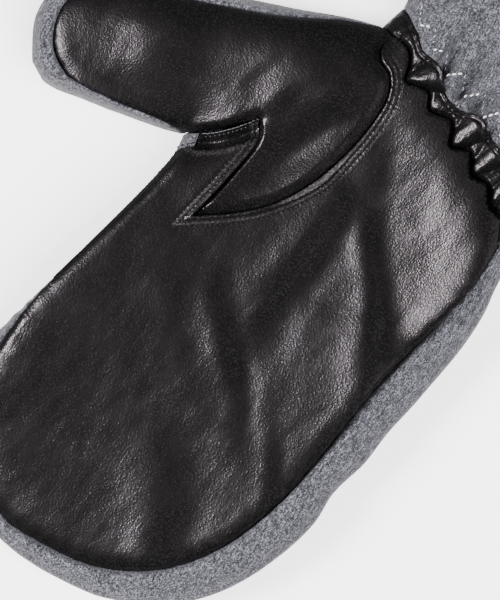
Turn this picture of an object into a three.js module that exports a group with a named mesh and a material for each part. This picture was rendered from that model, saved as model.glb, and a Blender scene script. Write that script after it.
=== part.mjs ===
import * as THREE from "three";

// A right-hand winter mitten, lying on its back with the palm up. Millimetres: +X towards the thumb,
// +Y towards the fingertips, +Z up from the palm, and z = 0 is the surface that it lies on.
const WALL = 3; // padded leather or fabric
const SEAM_GAP = 0.35; // each piece ends this far short of its seams
const SIDE_HEIGHT = 14; // height of the side line, where the top turns under
const CUFF_SIDE_HEIGHT = 18; // the same at the cuff's open end
const PALM_RISE = 15; // from the side line up to the palm
const TIP_RISE = 11; // the same near the fingertips
const WRIST_RISE = 17;
const CUFF_RISE = 24;
const TIP_Y = { from: 120, to: 200 }; // where the rise falls from the palm's to the tips'
const WRIST_Y = 40; // where it begins to change to the wrist's
const TOP_ROUND = 22; // plan width over which the top climbs from the side line
const UNDER_ROUND = 16; // plan width over which the underside drops to the surface
const CUFF_SEAM_Y = -10;
const CUFF_END_Y = -90;
const CUFF_CENTRE_X = 0.5;
const CUFF_END_HALF = 57; // half the width of the open end
const BOX_CENTRE = { x: 35.8, y: 62 }; // middle of the mitten's plan, which becomes the part's origin

// Side line: the outline seen from above, from the cuff up the little-finger side and round the tips.
const HAND_SIDE = [
  { x: -41.5, y: CUFF_SEAM_Y },
  { x: -45, y: 10 },
  { x: -49.7, y: 25.9 },
  { x: -53.6, y: 36.4 },
  { x: -57, y: 53 },
  { x: -58.8, y: 73.6 },
  { x: -59.4, y: 89 },
  { x: -61.3, y: 104 },
  { x: -61, y: 119 },
  { x: -63.6, y: 131 },
  { x: -63.2, y: 148 },
  { x: -57, y: 173 },
  { x: -42, y: 194 },
  { x: -19, y: 207.5 },
  { x: 13, y: 213.8 },
  { x: 40, y: 207.5 },
  { x: 56, y: 190 },
  { x: 63, y: 166 },
  { x: 63.4, y: 136 },
  { x: 63.4, y: 88 },
  { x: 64.6, y: 72.4 },
  { x: 66.6, y: 66.5 },
];
const INDEX_SEAM_ROW = 18; // from this row of HAND_SIDE on, the leather reaches the side line
const FLAP_ROW = 20; // where the flap's corner meets the side line

// Side line of the thumb, from the crotch round its tip and back to the wrist.
const THUMB_SIDE = [
  { x: 66.6, y: 66.5 },
  { x: 73.9, y: 70.9 },
  { x: 87.3, y: 77.3 },
  { x: 99.8, y: 82.8 },
  { x: 111.2, y: 87.8 },
  { x: 119.5, y: 88.2 },
  { x: 126.5, y: 82.5 },
  { x: 133.5, y: 73 },
  { x: 135.6, y: 62 },
  { x: 132, y: 49.5 },
  { x: 121, y: 39 },
  { x: 100, y: 26.5 },
  { x: 72, y: 8.5 },
  { x: 55, y: -3.5 },
  { x: 43.5, y: -10 },
];

// Edge of the palm leather, from the cuff up the little-finger side, round the tips to the index side.
const LEATHER_EDGE = [
  { x: -36.5, y: -8.5 },
  { x: -40.5, y: 18 },
  { x: -44.6, y: 40 },
  { x: -46, y: 84.4 },
  { x: -49.7, y: 117 },
  { x: -50.2, y: 135 },
  { x: -47, y: 160 },
  { x: -37.5, y: 181 },
  { x: -20, y: 197.5 },
  { x: 1.9, y: 206 },
  { x: 15, y: 208.4 },
  { x: 36, y: 203.2 },
  { x: 50, y: 190 },
  { x: 58.5, y: 172 },
  { x: 61.9, y: 154 },
  { x: 63.4, y: 136 },
];
const EDGE_ROWS = { wrist: 1, littleCorner: 7, indexCorner: 12 };

// Edge of the thumb leather, from the crotch round the thumb's tip and back to the wrist.
const THUMB_LEATHER_EDGE = [
  { x: 66.6, y: 66.5 },
  { x: 75.7, y: 69.9 },
  { x: 92.4, y: 77 },
  { x: 107.1, y: 81.3 },
  { x: 118.9, y: 78.3 },
  { x: 127, y: 68.5 },
  { x: 128.6, y: 59 },
  { x: 122.5, y: 46 },
  { x: 98, y: 30 },
  { x: 71, y: 11.5 },
  { x: 54.5, y: -2.6 },
  { x: 43.5, y: -10 },
];
const THUMB_EDGE_ROWS = { tipFar: 4, tipNear: 7 };

// Seams on top. The ball seam curves round the ball of the thumb up to the spike of the thumb leather,
// and the welt comes down from the spike to the crotch seam.
const BALL_SEAM = [
  { x: 38, y: -10 },
  { x: 38.6, y: -4.5 },
  { x: 35.5, y: -0.6 },
  { x: 29.8, y: 1.1 },
  { x: 24.5, y: 7.3 },
  { x: 20.9, y: 24 },
  { x: 21.7, y: 46.1 },
  { x: 26.5, y: 62.2 },
  { x: 33.4, y: 73.2 },
  { x: 43.4, y: 84.8 },
];
const WELT = [
  { x: 43.4, y: 84.8 },
  { x: 44.1, y: 66.2 },
  { x: 46.5, y: 48.9 },
  { x: 51.5, y: 44 },
];
const CROTCH_SEAM = [
  { x: 51.5, y: 44 },
  { x: 54.6, y: 51 },
  { x: 58.5, y: 57.6 },
  { x: 62.5, y: 62.4 },
  { x: 66.6, y: 66.5 },
];
// Where the palm's mesh divides, from the tip of the spike to the fingertips.
const PALM_MIDDLE = [
  { x: 46, y: 120 },
  { x: 46.5, y: 160 },
];
const WEB_CORNER = { x: 57.7, y: 65.5 }; // inner corner of the fabric that shows in the crotch
const GATHER_LINE = [
  { x: -40.5, y: 18 },
  { x: -28, y: 8.5 },
  { x: -15, y: 5 },
  { x: -2, y: 1.5 },
  { x: 10, y: -3 },
  { x: 22, y: -7.6 },
  { x: 30, y: -9.6 },
  { x: 38, y: -10 },
];
const CUFF_SEAM = [
  { x: -36.5, y: -8.5 },
  { x: -16, y: -8 },
  { x: 4, y: -10 },
  { x: 22, y: -15.5 },
  { x: 43, y: -20 },
];

// Folds that the leather shows: rounded ridges (height > 0) and valleys from one point to another.
const FOLDS = [
  { x0: 12, y0: 10, x1: -36, y1: 46, width: 13, height: 2.6 },
  { x0: 12, y0: 30, x1: -34, y1: 78, width: 6, height: -1.9 },
  { x0: 13, y0: 44, x1: -20, y1: 78, width: 6, height: 2 },
  { x0: -20, y0: 78, x1: -25, y1: 108, width: 8, height: 1.8 },
  { x0: 16, y0: 62, x1: 8, y1: 96, width: 7, height: 1.9 },
  { x0: 4, y0: 68, x1: -4, y1: 96, width: 5, height: -1.6 },
  { x0: 8, y0: 104, x1: -30, y1: 150, width: 6, height: 1.8 },
  { x0: 30, y0: 140, x1: -4, y1: 158, width: 6, height: -1.7 },
  { x0: 24, y0: 172, x1: 8, y1: 186, width: 13, height: 1.6 },
  { x0: 44, y0: 104, x1: 50, y1: 150, width: 7, height: -1.4 },
  { x0: 28, y0: 52, x1: 46, y1: 26, width: 7, height: 2 },
  { x0: 38, y0: 60, x1: 60, y1: 34, width: 6, height: -1.8 },
];
const FOLD_FADE = { seam: 8, side: 10 }; // how far from the fabric's seams and the side line folds begin
const CROTCH_DIP = { depth: 4.5, flapWidth: 9, thumbWidth: 2.25 }; // valley along the crotch seam
const SEAM_DIP = { depth: 1.3, width: 3.5 }; // groove along the ball seam and the welt

// Gathers along the wrist strip. Between two puffs the leather sinks by the share that is sunk.
const PUFF = { pitch: 12.4, height: 3.4, fullness: 0.8, sunk: 0.3, sideFade: 8 };
const CUFF_WRINKLE = { height: 1.7, fade: 26, sideFrom: 2, sideTo: 12 }; // sent into the cuff by the gathers

// Mesh steps along each seam.
const STEPS = {
  littleSide: 25,
  tip: 18,
  indexCorner: 5,
  indexBand: 7,
  indexSide: 10,
  ballSeam: 13,
  palmMiddle: 12,
  welt: 5,
  crotchHalf: 2,
  thumbFar: 7,
  thumbTip: 13,
  thumbNear: 14,
  wristThumb: 2,
  band: 3,
  thumbBand: 2,
  rootSeam: 16,
  gatherDepth: 4,
  cuffLength: 10,
  cuffUnder: 18,
  cuffSide: 24,
};
const FINE_STEPS = { perCurve: 400, perSide: 1500 }; // for lengths along a curve and nearest places
const PATCH_HOLD = 4; // how soon the thumb's patch lets go of the ball seam's bends

// Rings of the underside, from the side line towards a middle: distances first, then the middle.
const HAND_MIDDLE = new THREE.Vector3(5, 75, 0);
const HAND_RINGS = [0, 1.5, 4.5, 9.5, 16, 26];
const THUMB_MIDDLE = new THREE.Vector3(92, 43, 0);
const THUMB_RINGS = [0, 1.5, 4.5, 9.5, 16];

const mix = THREE.MathUtils.lerp;
const ramp = THREE.MathUtils.smoothstep;

// Curves in plan

const curveThrough = (rows) => {
  const points = rows.map((r) => new THREE.Vector3(r.x, r.y, 0));
  return new THREE.CatmullRomCurve3(points, false, "centripetal");
};

// Points at the given fractions of the length between two rows of a smooth curve.
function pointsAlong(rows, fractions, from = 0, to = rows.length - 1) {
  const curve = curveThrough(rows);
  const last = rows.length - 1;
  const fine = FINE_STEPS.perCurve;
  const dense = [];
  for (let i = 0; i <= fine; i++) {
    dense.push(curve.getPoint(mix(from, to, i / fine) / last));
  }
  const lengths = [0];
  for (let i = 1; i <= fine; i++) {
    lengths.push(lengths[i - 1] + dense[i].distanceTo(dense[i - 1]));
  }
  return fractions.map((f) => {
    const wanted = f * lengths[fine];
    let i = lengths.findIndex((l) => l >= wanted);
    i = Math.max(1, i < 0 ? fine : i);
    const part = (wanted - lengths[i - 1]) / (lengths[i] - lengths[i - 1]);
    return dense[i - 1].clone().lerp(dense[i], THREE.MathUtils.clamp(part, 0, 1));
  });
}

const even = (count) => Array.from({ length: count + 1 }, (_, i) => i / count);
// Fractions that crowd towards the end, where the top turns down to the side line.
const crowdedAtEnd = (count) => even(count).map((f) => Math.sin((f * Math.PI) / 2));
const crowdedAtBoth = (count) => even(count).map((f) => (1 - Math.cos(f * Math.PI)) / 2);
const join = (...runs) => runs.reduce((all, run) => all.concat(all.length ? run.slice(1) : run), []);
const backwards = (run) => [...run].reverse();
const halved = (run) =>
  join(...run.slice(1).map((p, i) => [run[i], run[i].clone().lerp(p, 0.5), p]));

// Distance in plan from a point to a run of points.
function distanceTo(run, p) {
  let best = Infinity;
  for (let i = 1; i < run.length; i++) {
    const a = run[i - 1];
    const dx = run[i].x - a.x;
    const dy = run[i].y - a.y;
    const along = ((p.x - a.x) * dx + (p.y - a.y) * dy) / (dx * dx + dy * dy || 1);
    const t = THREE.MathUtils.clamp(along, 0, 1);
    best = Math.min(best, Math.hypot(p.x - a.x - t * dx, p.y - a.y - t * dy));
  }
  return best;
}

// Seams as runs of mesh points

const littleEdge = pointsAlong(LEATHER_EDGE, even(STEPS.littleSide), EDGE_ROWS.wrist, EDGE_ROWS.littleCorner);
const tipEdge = pointsAlong(LEATHER_EDGE, even(STEPS.tip), EDGE_ROWS.littleCorner, EDGE_ROWS.indexCorner - 1);
const cornerEdge = pointsAlong(
  LEATHER_EDGE,
  crowdedAtEnd(STEPS.indexCorner),
  EDGE_ROWS.indexCorner - 1,
  EDGE_ROWS.indexCorner + 1,
);
const bandEdge = pointsAlong(LEATHER_EDGE, even(STEPS.indexBand), EDGE_ROWS.indexCorner + 1);
const indexSide = pointsAlong(HAND_SIDE, even(STEPS.indexSide), INDEX_SEAM_ROW, FLAP_ROW);
const flapToCrotch = pointsAlong(HAND_SIDE, [0, 1], FLAP_ROW);
const gatherSide = pointsAlong(LEATHER_EDGE, even(STEPS.gatherDepth), 0, EDGE_ROWS.wrist);

const ballSeam = pointsAlong(BALL_SEAM, even(STEPS.ballSeam));
const welt = pointsAlong(WELT, even(STEPS.welt));
const crotchSeam = pointsAlong(CROTCH_SEAM, even(2 * STEPS.crotchHalf));
const thumbFar = pointsAlong(THUMB_LEATHER_EDGE, even(STEPS.thumbFar), 0, THUMB_EDGE_ROWS.tipFar);
const thumbTip = pointsAlong(
  THUMB_LEATHER_EDGE,
  even(STEPS.thumbTip),
  THUMB_EDGE_ROWS.tipFar,
  THUMB_EDGE_ROWS.tipNear,
);
const thumbNear = pointsAlong(THUMB_LEATHER_EDGE, even(STEPS.thumbNear), THUMB_EDGE_ROWS.tipNear);

const spike = ballSeam[STEPS.ballSeam];
const palmMiddle = pointsAlong([spike, ...PALM_MIDDLE, cornerEdge[0]], even(STEPS.palmMiddle));
const gatherHand = pointsAlong(GATHER_LINE, even(STEPS.tip));
const wristThumb = thumbNear[STEPS.thumbNear];
const gatherThumb = pointsAlong([ballSeam[0], wristThumb], crowdedAtEnd(STEPS.wristThumb));

// For each point of a seam, the nearest place on the side line, found by small steps along it.
function sidePartners(seam, sideRows) {
  const dense = pointsAlong(sideRows, even(FINE_STEPS.perSide));
  let from = 0;
  return seam.map((p) => {
    let best = from;
    for (let i = from; i < dense.length; i++) {
      if (dense[i].distanceTo(p) < dense[best].distanceTo(p)) best = i;
    }
    from = best;
    return dense[best].clone();
  });
}

const bandSeam = join(gatherSide, littleEdge, tipEdge, cornerEdge, bandEdge);
const bandSide = sidePartners(bandSeam, HAND_SIDE);
bandSide[0] = pointsAlong(HAND_SIDE, [0])[0];
bandSide[bandSide.length - 1] = bandSeam[bandSeam.length - 1].clone();
const thumbSeam = join(thumbFar, thumbTip, thumbNear);
const thumbSide = sidePartners(thumbSeam, THUMB_SIDE);
thumbSide[0] = thumbSeam[0].clone();
thumbSide[thumbSide.length - 1] = thumbSeam[thumbSeam.length - 1].clone();

const crotch = flapToCrotch[1];
const cuffThumb = pointsAlong(CUFF_SEAM, [1])[0];
const gatherThumbSide = even(STEPS.gatherDepth).map((f) => wristThumb.clone().lerp(cuffThumb, f));
const gatherTop = halved(join(gatherHand, gatherThumb));
const cuffTop = pointsAlong(CUFF_SEAM, even(gatherTop.length - 1));
const cuffUnder = crowdedAtBoth(STEPS.cuffUnder).map((f) => cuffThumb.clone().lerp(bandSide[0], f));
const rootSeam = even(STEPS.rootSeam).map((f) => crotch.clone().lerp(wristThumb, f));

// Side line as one run, with the cuff's sides carried on past its open end.
const beyond = CUFF_END_Y - 2 * TOP_ROUND;
// x of the cuff's side at a place along it: side is -1 on the little-finger side and 1 on the thumb's.
function cuffSideX(side, y) {
  const start = side < 0 ? bandSide[0] : cuffThumb;
  const down = Math.min((start.y - y) / (start.y - CUFF_END_Y), 1);
  return mix(start.x, CUFF_CENTRE_X + side * CUFF_END_HALF, Math.sin((down * Math.PI) / 2));
}
const cuffSideRun = (side, fromY) =>
  even(STEPS.cuffSide).map((f) => {
    const y = mix(fromY, beyond, f);
    return new THREE.Vector3(cuffSideX(side, y), y, 0);
  });
const sideLine = join(
  cuffSideRun(-1, CUFF_SEAM_Y).reverse(),
  bandSide,
  indexSide,
  flapToCrotch,
  thumbSide,
  gatherThumbSide,
  cuffSideRun(1, cuffThumb.y),
);

// Heights

const quarterRound = (q) => Math.sqrt(1 - (1 - Math.min(q, 1)) ** 2);
const sideHeight = (y) => mix(SIDE_HEIGHT, CUFF_SIDE_HEIGHT, ramp(-y, -CUFF_SEAM_Y, -CUFF_END_Y));
function rise(y) {
  const hand = mix(PALM_RISE, TIP_RISE, ramp(y, TIP_Y.from, TIP_Y.to));
  const wrist = mix(hand, WRIST_RISE, ramp(-y, -WRIST_Y, -CUFF_SEAM_Y));
  return mix(wrist, CUFF_RISE, ramp(-y, -CUFF_SEAM_Y, -CUFF_END_Y));
}

const topZ = (p) => sideHeight(p.y) + rise(p.y) * quarterRound(distanceTo(sideLine, p) / TOP_ROUND);
const underZ = (p) => sideHeight(p.y) * (1 - quarterRound(distanceTo(sideLine, p) / UNDER_ROUND));

// Folds stand out from the smooth top along its normal, so that the inside stays smooth.
function foldHeight(p) {
  let height = 0;
  for (const f of FOLDS) {
    const off = distanceTo([{ x: f.x0, y: f.y0 }, { x: f.x1, y: f.y1 }], p) / f.width;
    height += f.height * Math.exp(-off * off);
  }
  const seamOff = Math.min(distanceTo(ballSeam, p), distanceTo(welt, p)) / SEAM_DIP.width;
  height -= SEAM_DIP.depth * Math.exp(-seamOff * seamOff);
  const edge = Math.min(distanceTo(bandSeam, p), distanceTo(gatherHand, p), distanceTo(thumbSeam, p));
  const side = distanceTo(sideLine, p);
  return height * ramp(edge, 0, FOLD_FADE.seam) * ramp(side, 0, FOLD_FADE.side);
}

// The flap sinks beside the crotch seam, and the thumb stands steep above it.
function flapDip(p, width) {
  const off = distanceTo(crotchSeam, p) / width;
  const side = ramp(distanceTo(sideLine, p), 0, FOLD_FADE.side);
  return CROTCH_DIP.depth * Math.exp(-off * off) * side;
}

// Grids of points

// A four-sided patch between runs of points: bottom and top have as many points, and so have the sides.
// The higher hold is, the sooner the patch lets go of the left side's own bends.
function patchBetween(bottom, top, left, right, us = even(bottom.length - 1), hold = 1) {
  const rows = left.length - 1;
  return even(rows).map((v, j) => {
    const straight = (i) => bottom[i].clone().lerp(top[i], v);
    const leftBend = left[j].clone().sub(straight(0));
    const rightBend = right[j].clone().sub(straight(bottom.length - 1));
    return us.map((u, i) =>
      straight(i)
        .addScaledVector(leftBend, (1 - u) ** hold)
        .addScaledVector(rightBend, u),
    );
  });
}

// Rings from a closed run of points towards a middle, at the given distances, and then the middle.
function ringsTowards(loop, middle, distances) {
  const rings = distances.map((distance) =>
    loop.map((p) => p.clone().lerp(middle, distance / p.distanceTo(middle))),
  );
  return [...rings, loop.map(() => middle.clone())];
}

const lifted = (grid, height, relief = () => 0) =>
  grid.map((row) =>
    row.map((p) => ({ base: new THREE.Vector3(p.x, p.y, height(p)), relief: relief(p) })),
  );

// Panels

const flapTop = (p) => topZ(p) - flapDip(p, CROTCH_DIP.flapWidth);
const thumbTop = (p) => topZ(p) - flapDip(p, CROTCH_DIP.thumbWidth);

const crotchLower = crotchSeam.slice(0, STEPS.crotchHalf + 1);
const crotchUpper = crotchSeam.slice(STEPS.crotchHalf);
const webCorner = new THREE.Vector3(WEB_CORNER.x, WEB_CORNER.y, 0);
const flapCorner = flapToCrotch[0];
const webTop = even(STEPS.crotchHalf).map((f) => webCorner.clone().lerp(flapCorner, f));

// The palm is one patch from the little-finger side to the ball seam, and a strip along the index side.
function palmPatches() {
  const main = patchBetween(gatherHand, tipEdge, littleEdge, join(ballSeam, palmMiddle));
  const bottom = join(crotchLower, [crotchUpper[0], webCorner], webTop);
  const left = join(backwards(welt), palmMiddle);
  const right = join(backwards(indexSide), backwards(bandEdge));
  const strip = patchBetween(bottom, cornerEdge, left, right, crowdedAtEnd(STEPS.indexCorner));
  return [lifted(main, topZ, foldHeight), lifted(strip, flapTop, foldHeight)];
}

function thumbLeatherPatches() {
  const bottom = join(gatherThumb, backwards(thumbNear));
  const top = join(welt, crotchSeam, thumbFar);
  const right = backwards(thumbTip);
  const patch = patchBetween(bottom, top, ballSeam, right, even(bottom.length - 1), PATCH_HOLD);
  return [lifted(patch, thumbTop, foldHeight)];
}

// A band of fabric on top, from a leather edge out to the side line.
const bandBetween = (seam, side, count) =>
  crowdedAtEnd(count).map((f) => seam.map((p, i) => p.clone().lerp(side[i], f)));

function backPatches() {
  const band = bandBetween(bandSeam, bandSide, STEPS.band);
  const web = patchBetween(crotchUpper, webTop, [crotchUpper[0], webCorner], [crotch, flapCorner]);
  const loop = join(
    bandSide,
    indexSide,
    flapToCrotch,
    rootSeam,
    gatherThumbSide,
    cuffUnder,
  );
  const under = ringsTowards(loop, HAND_MIDDLE, HAND_RINGS);
  return [lifted(band, topZ), lifted(web, flapTop), lifted(under, underZ)];
}

function thumbBackPatches() {
  const band = bandBetween(thumbSeam, thumbSide, STEPS.thumbBand);
  const loop = join(thumbSide, backwards(rootSeam));
  const under = ringsTowards(loop, THUMB_MIDDLE, THUMB_RINGS);
  return [lifted(band, topZ), lifted(under, underZ)];
}

// Puffs of the gathered strip: one swelling for each pitch, none at the strip's edges. Where the strip
// has a point between two of the hand's, it lies on the straight line between them.
function gatherPatches() {
  const right = backwards(gatherThumbSide);
  const grid = patchBetween(cuffTop, gatherTop, gatherSide, right);
  const last = grid.length - 1;
  const lift = (p) => new THREE.Vector3(p.x, p.y, topZ(p));
  const between = (i) => lift(grid[last][i - 1]).lerp(lift(grid[last][i + 1]), 0.5);
  return [
    grid.map((row, j) =>
      row.map((p, i) => {
        const across = Math.sin((j * Math.PI) / STEPS.gatherDepth);
        const puff = Math.abs(Math.sin((p.x * Math.PI) / PUFF.pitch)) ** PUFF.fullness;
        const side = ramp(distanceTo(sideLine, p), 0, PUFF.sideFade);
        return {
          base: j === last && i % 2 ? between(i) : lift(p),
          relief: PUFF.height * (puff - PUFF.sunk) * across * side,
        };
      }),
    ),
  ];
}

// The cuff is a tube. Each ring keeps the seam's spacing across, stretched to the ring's own width.
function cuffPatches() {
  const cuffBand = backwards(bandBetween(bandSeam, bandSide, STEPS.band).map((row) => row[0]));
  const loop = join(cuffBand, cuffTop, cuffUnder);
  const topCount = STEPS.band + cuffTop.length - 1;
  const left = cuffBand[0].x;
  const right = cuffThumb.x;
  const rings = even(STEPS.cuffLength).map((w) =>
    loop.map((p, i) => {
      const y = mix(CUFF_END_Y, p.y, w);
      const from = cuffSideX(-1, y);
      const to = cuffSideX(1, y);
      const x = w === 1 ? p.x : mix(from, to, (p.x - left) / (right - left));
      const inFromSide = Math.max(0, Math.min(x - from, to - x));
      const under = i > topCount || i === loop.length - 1;
      const z = under
        ? sideHeight(y) * (1 - quarterRound(inFromSide / UNDER_ROUND))
        : sideHeight(y) + rise(y) * quarterRound(inFromSide / TOP_ROUND);
      const wrinkle = Math.sin((p.x * 2 * Math.PI) / PUFF.pitch) * Math.sin(w * Math.PI);
      const inward = ramp(inFromSide, CUFF_WRINKLE.sideFrom, CUFF_WRINKLE.sideTo);
      const fade = Math.exp((y - p.y) / CUFF_WRINKLE.fade) * inward;
      const seamZ = i <= topCount ? topZ(p) : underZ(p);
      return {
        base: new THREE.Vector3(x, y, w === 1 ? seamZ : z),
        relief: under ? 0 : CUFF_WRINKLE.height * wrinkle * fade,
      };
    }),
  );
  return [rings];
}

// Making the solids

const keyOf = (v) => `${v.x.toFixed(3)},${v.y.toFixed(3)},${v.z.toFixed(3)}`;

// One shell of points and triangles from a panel's patches, with the points they share merged.
function shellOf(patches) {
  const points = [];
  const index = new Map();
  const triangles = [];
  const numberOf = (v) => {
    const key = keyOf(v.base);
    if (!index.has(key)) {
      index.set(key, points.length);
      points.push(v);
    }
    return index.get(key);
  };
  for (const grid of patches) {
    const numbers = grid.map((row) => row.map(numberOf));
    for (let j = 1; j < numbers.length; j++) {
      for (let i = 1; i < numbers[j].length; i++) {
        const a = numbers[j - 1][i - 1];
        const b = numbers[j - 1][i];
        const c = numbers[j][i];
        const d = numbers[j][i - 1];
        for (const t of [[a, b, c], [a, c, d]]) {
          if (new Set(t).size === 3) triangles.push(t);
        }
      }
    }
  }
  return { points, triangles };
}

const faceNormal = (shell, [a, b, c]) => {
  const from = shell.points[a].base;
  const one = shell.points[b].base.clone().sub(from);
  return one.cross(shell.points[c].base.clone().sub(from));
};

// Normals at the points, the same for every piece that meets at a seam.
function addNormals(shells) {
  const sums = new Map();
  for (const shell of shells) {
    for (const t of shell.triangles) {
      const normal = faceNormal(shell, t);
      for (const i of t) {
        const key = keyOf(shell.points[i].base);
        if (!sums.has(key)) sums.set(key, new THREE.Vector3());
        sums.get(key).add(normal);
      }
    }
  }
  for (const shell of shells) {
    shell.normals = shell.points.map((v) => sums.get(keyOf(v.base)).clone().normalize());
  }
}

// Edges that only one triangle uses, from each start to its end.
function borderOf(shell) {
  const next = new Map();
  const seen = new Set();
  for (const [a, b, c] of shell.triangles) {
    for (const [p, q] of [[a, b], [b, c], [c, a]]) seen.add(`${p},${q}`);
  }
  for (const edge of seen) {
    const [p, q] = edge.split(",").map(Number);
    if (!seen.has(`${q},${p}`)) next.set(p, q);
  }
  return next;
}

// How far a border point moves in from its seams: square to both of the edges that meet there.
function setBack(shell, before, at, after) {
  const [p, q, r] = [before, at, after].map((i) => shell.points[i].base);
  const normal = shell.normals[at];
  const inward = (from, to) => normal.clone().cross(to.clone().sub(from)).normalize();
  const first = inward(p, q);
  const second = inward(q, r);
  const middle = first.clone().add(second);
  if (middle.length() < 0.2) return first.multiplyScalar(SEAM_GAP);
  middle.normalize();
  return middle.multiplyScalar(SEAM_GAP / Math.max(middle.dot(second), 0.2));
}

// The wall: the outer face with its folds, the smooth inner face, and a rim along the border.
function wallGeometry(shell) {
  const next = borderOf(shell);
  const previous = new Map([...next].map(([p, q]) => [q, p]));
  const count = shell.points.length;
  const outer = [];
  const inner = [];
  shell.points.forEach((v, i) => {
    const base = v.base.clone();
    if (next.has(i)) base.add(setBack(shell, previous.get(i), i, next.get(i)));
    base.z = Math.max(base.z, 0);
    outer.push(base.clone().addScaledVector(shell.normals[i], v.relief));
    inner.push(base.clone().addScaledVector(shell.normals[i], -WALL));
  });
  const triangles = [];
  for (const [a, b, c] of shell.triangles) {
    triangles.push(a, b, c, count + a, count + c, count + b);
  }
  for (const [p, q] of next) {
    triangles.push(q, p, count + p, q, count + p, count + q);
  }
  const positions = [...outer, ...inner].flatMap((v) => [v.x, v.y, v.z]);
  const geometry = new THREE.BufferGeometry();
  geometry.setAttribute("position", new THREE.Float32BufferAttribute(positions, 3));
  geometry.setIndex(triangles);
  geometry.computeVertexNormals();
  return geometry;
}

const PIECES = {
  palm_leather: { patches: palmPatches(), finish: "leather" },
  thumb_leather: { patches: thumbLeatherPatches(), finish: "leather" },
  wrist_gather_leather: { patches: gatherPatches(), finish: "leather" },
  back_fabric: { patches: backPatches(), finish: "fabric" },
  thumb_back_fabric: { patches: thumbBackPatches(), finish: "fabric" },
  cuff_fabric: { patches: cuffPatches(), finish: "fabric" },
};

const FINISHES = {
  leather: new THREE.MeshStandardMaterial({ color: 0x1d1b1c, roughness: 0.45, metalness: 0 }),
  fabric: new THREE.MeshStandardMaterial({ color: 0x696b76, roughness: 0.9, metalness: 0 }),
};

function mittenGroup() {
  const mitten = new THREE.Group();
  const names = Object.keys(PIECES);
  const shells = names.map((name) => shellOf(PIECES[name].patches));
  addNormals(shells);
  names.forEach((name, i) => {
    const mesh = new THREE.Mesh(wallGeometry(shells[i]), FINISHES[PIECES[name].finish]);
    mesh.name = name;
    mitten.add(mesh);
  });
  mitten.position.set(-BOX_CENTRE.x, -BOX_CENTRE.y, 0);
  return mitten;
}

const part = new THREE.Group();
part.add(mittenGroup());

export default part;
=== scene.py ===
"""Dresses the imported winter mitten: leather palm and thumb, grey melange back and cuff, and stitching.

The mitten lies on its back with the palm up. The tables are in millimetres in the maker's frame: +X
towards the thumb, +Y towards the fingertips, +Z up, and z = 0 is the surface that the mitten lies on.
"""

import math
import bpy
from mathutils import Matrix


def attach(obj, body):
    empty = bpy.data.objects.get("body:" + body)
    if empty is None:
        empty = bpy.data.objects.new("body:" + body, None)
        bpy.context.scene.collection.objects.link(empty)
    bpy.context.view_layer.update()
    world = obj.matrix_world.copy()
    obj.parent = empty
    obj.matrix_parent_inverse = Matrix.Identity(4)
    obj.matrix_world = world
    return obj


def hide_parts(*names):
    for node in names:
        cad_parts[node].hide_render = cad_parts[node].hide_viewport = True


bl_info = {
    "name": "Leather and Fabric Mitten",
    "version": (1, 0, 0),
    "blender": (4, 5, 0),
    "location": "3D View > Sidebar > Mitten",
    "description": "Sews a winter mitten from leather, melange fabric and thread around its packed frame",
    "category": "Object",
}

import bpy
import numpy as np
from bpy.props import FloatProperty, FloatVectorProperty, PointerProperty
from mathutils import Matrix, Vector, geometry, noise
from mathutils.bvhtree import BVHTree
from mathutils.kdtree import KDTree

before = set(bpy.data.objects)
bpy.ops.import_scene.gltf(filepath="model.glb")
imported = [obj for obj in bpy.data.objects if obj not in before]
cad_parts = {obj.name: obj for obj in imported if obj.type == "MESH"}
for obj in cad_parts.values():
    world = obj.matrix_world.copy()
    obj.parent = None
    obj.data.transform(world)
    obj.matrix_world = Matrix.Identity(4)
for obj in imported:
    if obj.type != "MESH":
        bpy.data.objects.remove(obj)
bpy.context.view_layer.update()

MM = 0.001
PLAN_CENTRE = np.array([35.8, 62.0, 0.0])  # the maker's point that is the row's origin

# Loft of the mitten
WALL = 3.0
SIDE_HEIGHT = 14.0
CUFF_SIDE_HEIGHT = 18.0
PALM_RISE = 15.0
TIP_RISE = 11.0
WRIST_RISE = 17.0
CUFF_RISE = 24.0
TIP_FROM, TIP_TO = 120.0, 200.0
WRIST_FROM = 40.0
TOP_ROUND = 22.0
UNDER_ROUND = 16.0
INDEX_ROUND = 5.0
INDEX_SHOULDER = {"share": 0.04, "round": 16.0}
INDEX_ZONE = {"x": (20, 45), "y": (50, 80), "tips": (180, 205)}  # where the index side begins and ends
CUFF_SEAM_Y = -10.0
CUFF_END_Y = -90.0
CUFF_CENTRE_X = 0.5
CUFF_END_HALF = 57.0

# Outline seen from above
HAND_SIDE = [
    (-41.5, -10), (-45, 10), (-49.7, 25.9), (-53.6, 36.4), (-57, 53), (-58.8, 73.6), (-59.4, 89),
    (-61.3, 104), (-61, 119), (-63.6, 131), (-63.2, 148), (-57, 173), (-42, 194), (-19, 207.5),
    (13, 213.8), (40, 207.5), (56, 190), (63, 166), (63.4, 136), (63.4, 88), (64.6, 72.4), (66.6, 66.5),
]
INDEX_SEAM_ROW, FLAP_ROW = 18, 20
THUMB_SIDE = [
    (66.6, 66.5), (73.9, 70.9), (87.3, 77.3), (99.8, 82.8), (111.2, 87.8), (119.5, 88.2), (126.5, 82.5),
    (133.5, 73), (135.6, 62), (132, 49.5), (121, 39), (100, 26.5), (72, 8.5), (55, -3.5), (43.5, -10),
]
WRIST_THUMB = (43.5, -10)
CUFF_THUMB = (43, -20)
CUFF_LITTLE = (-41.5, -10)

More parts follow.
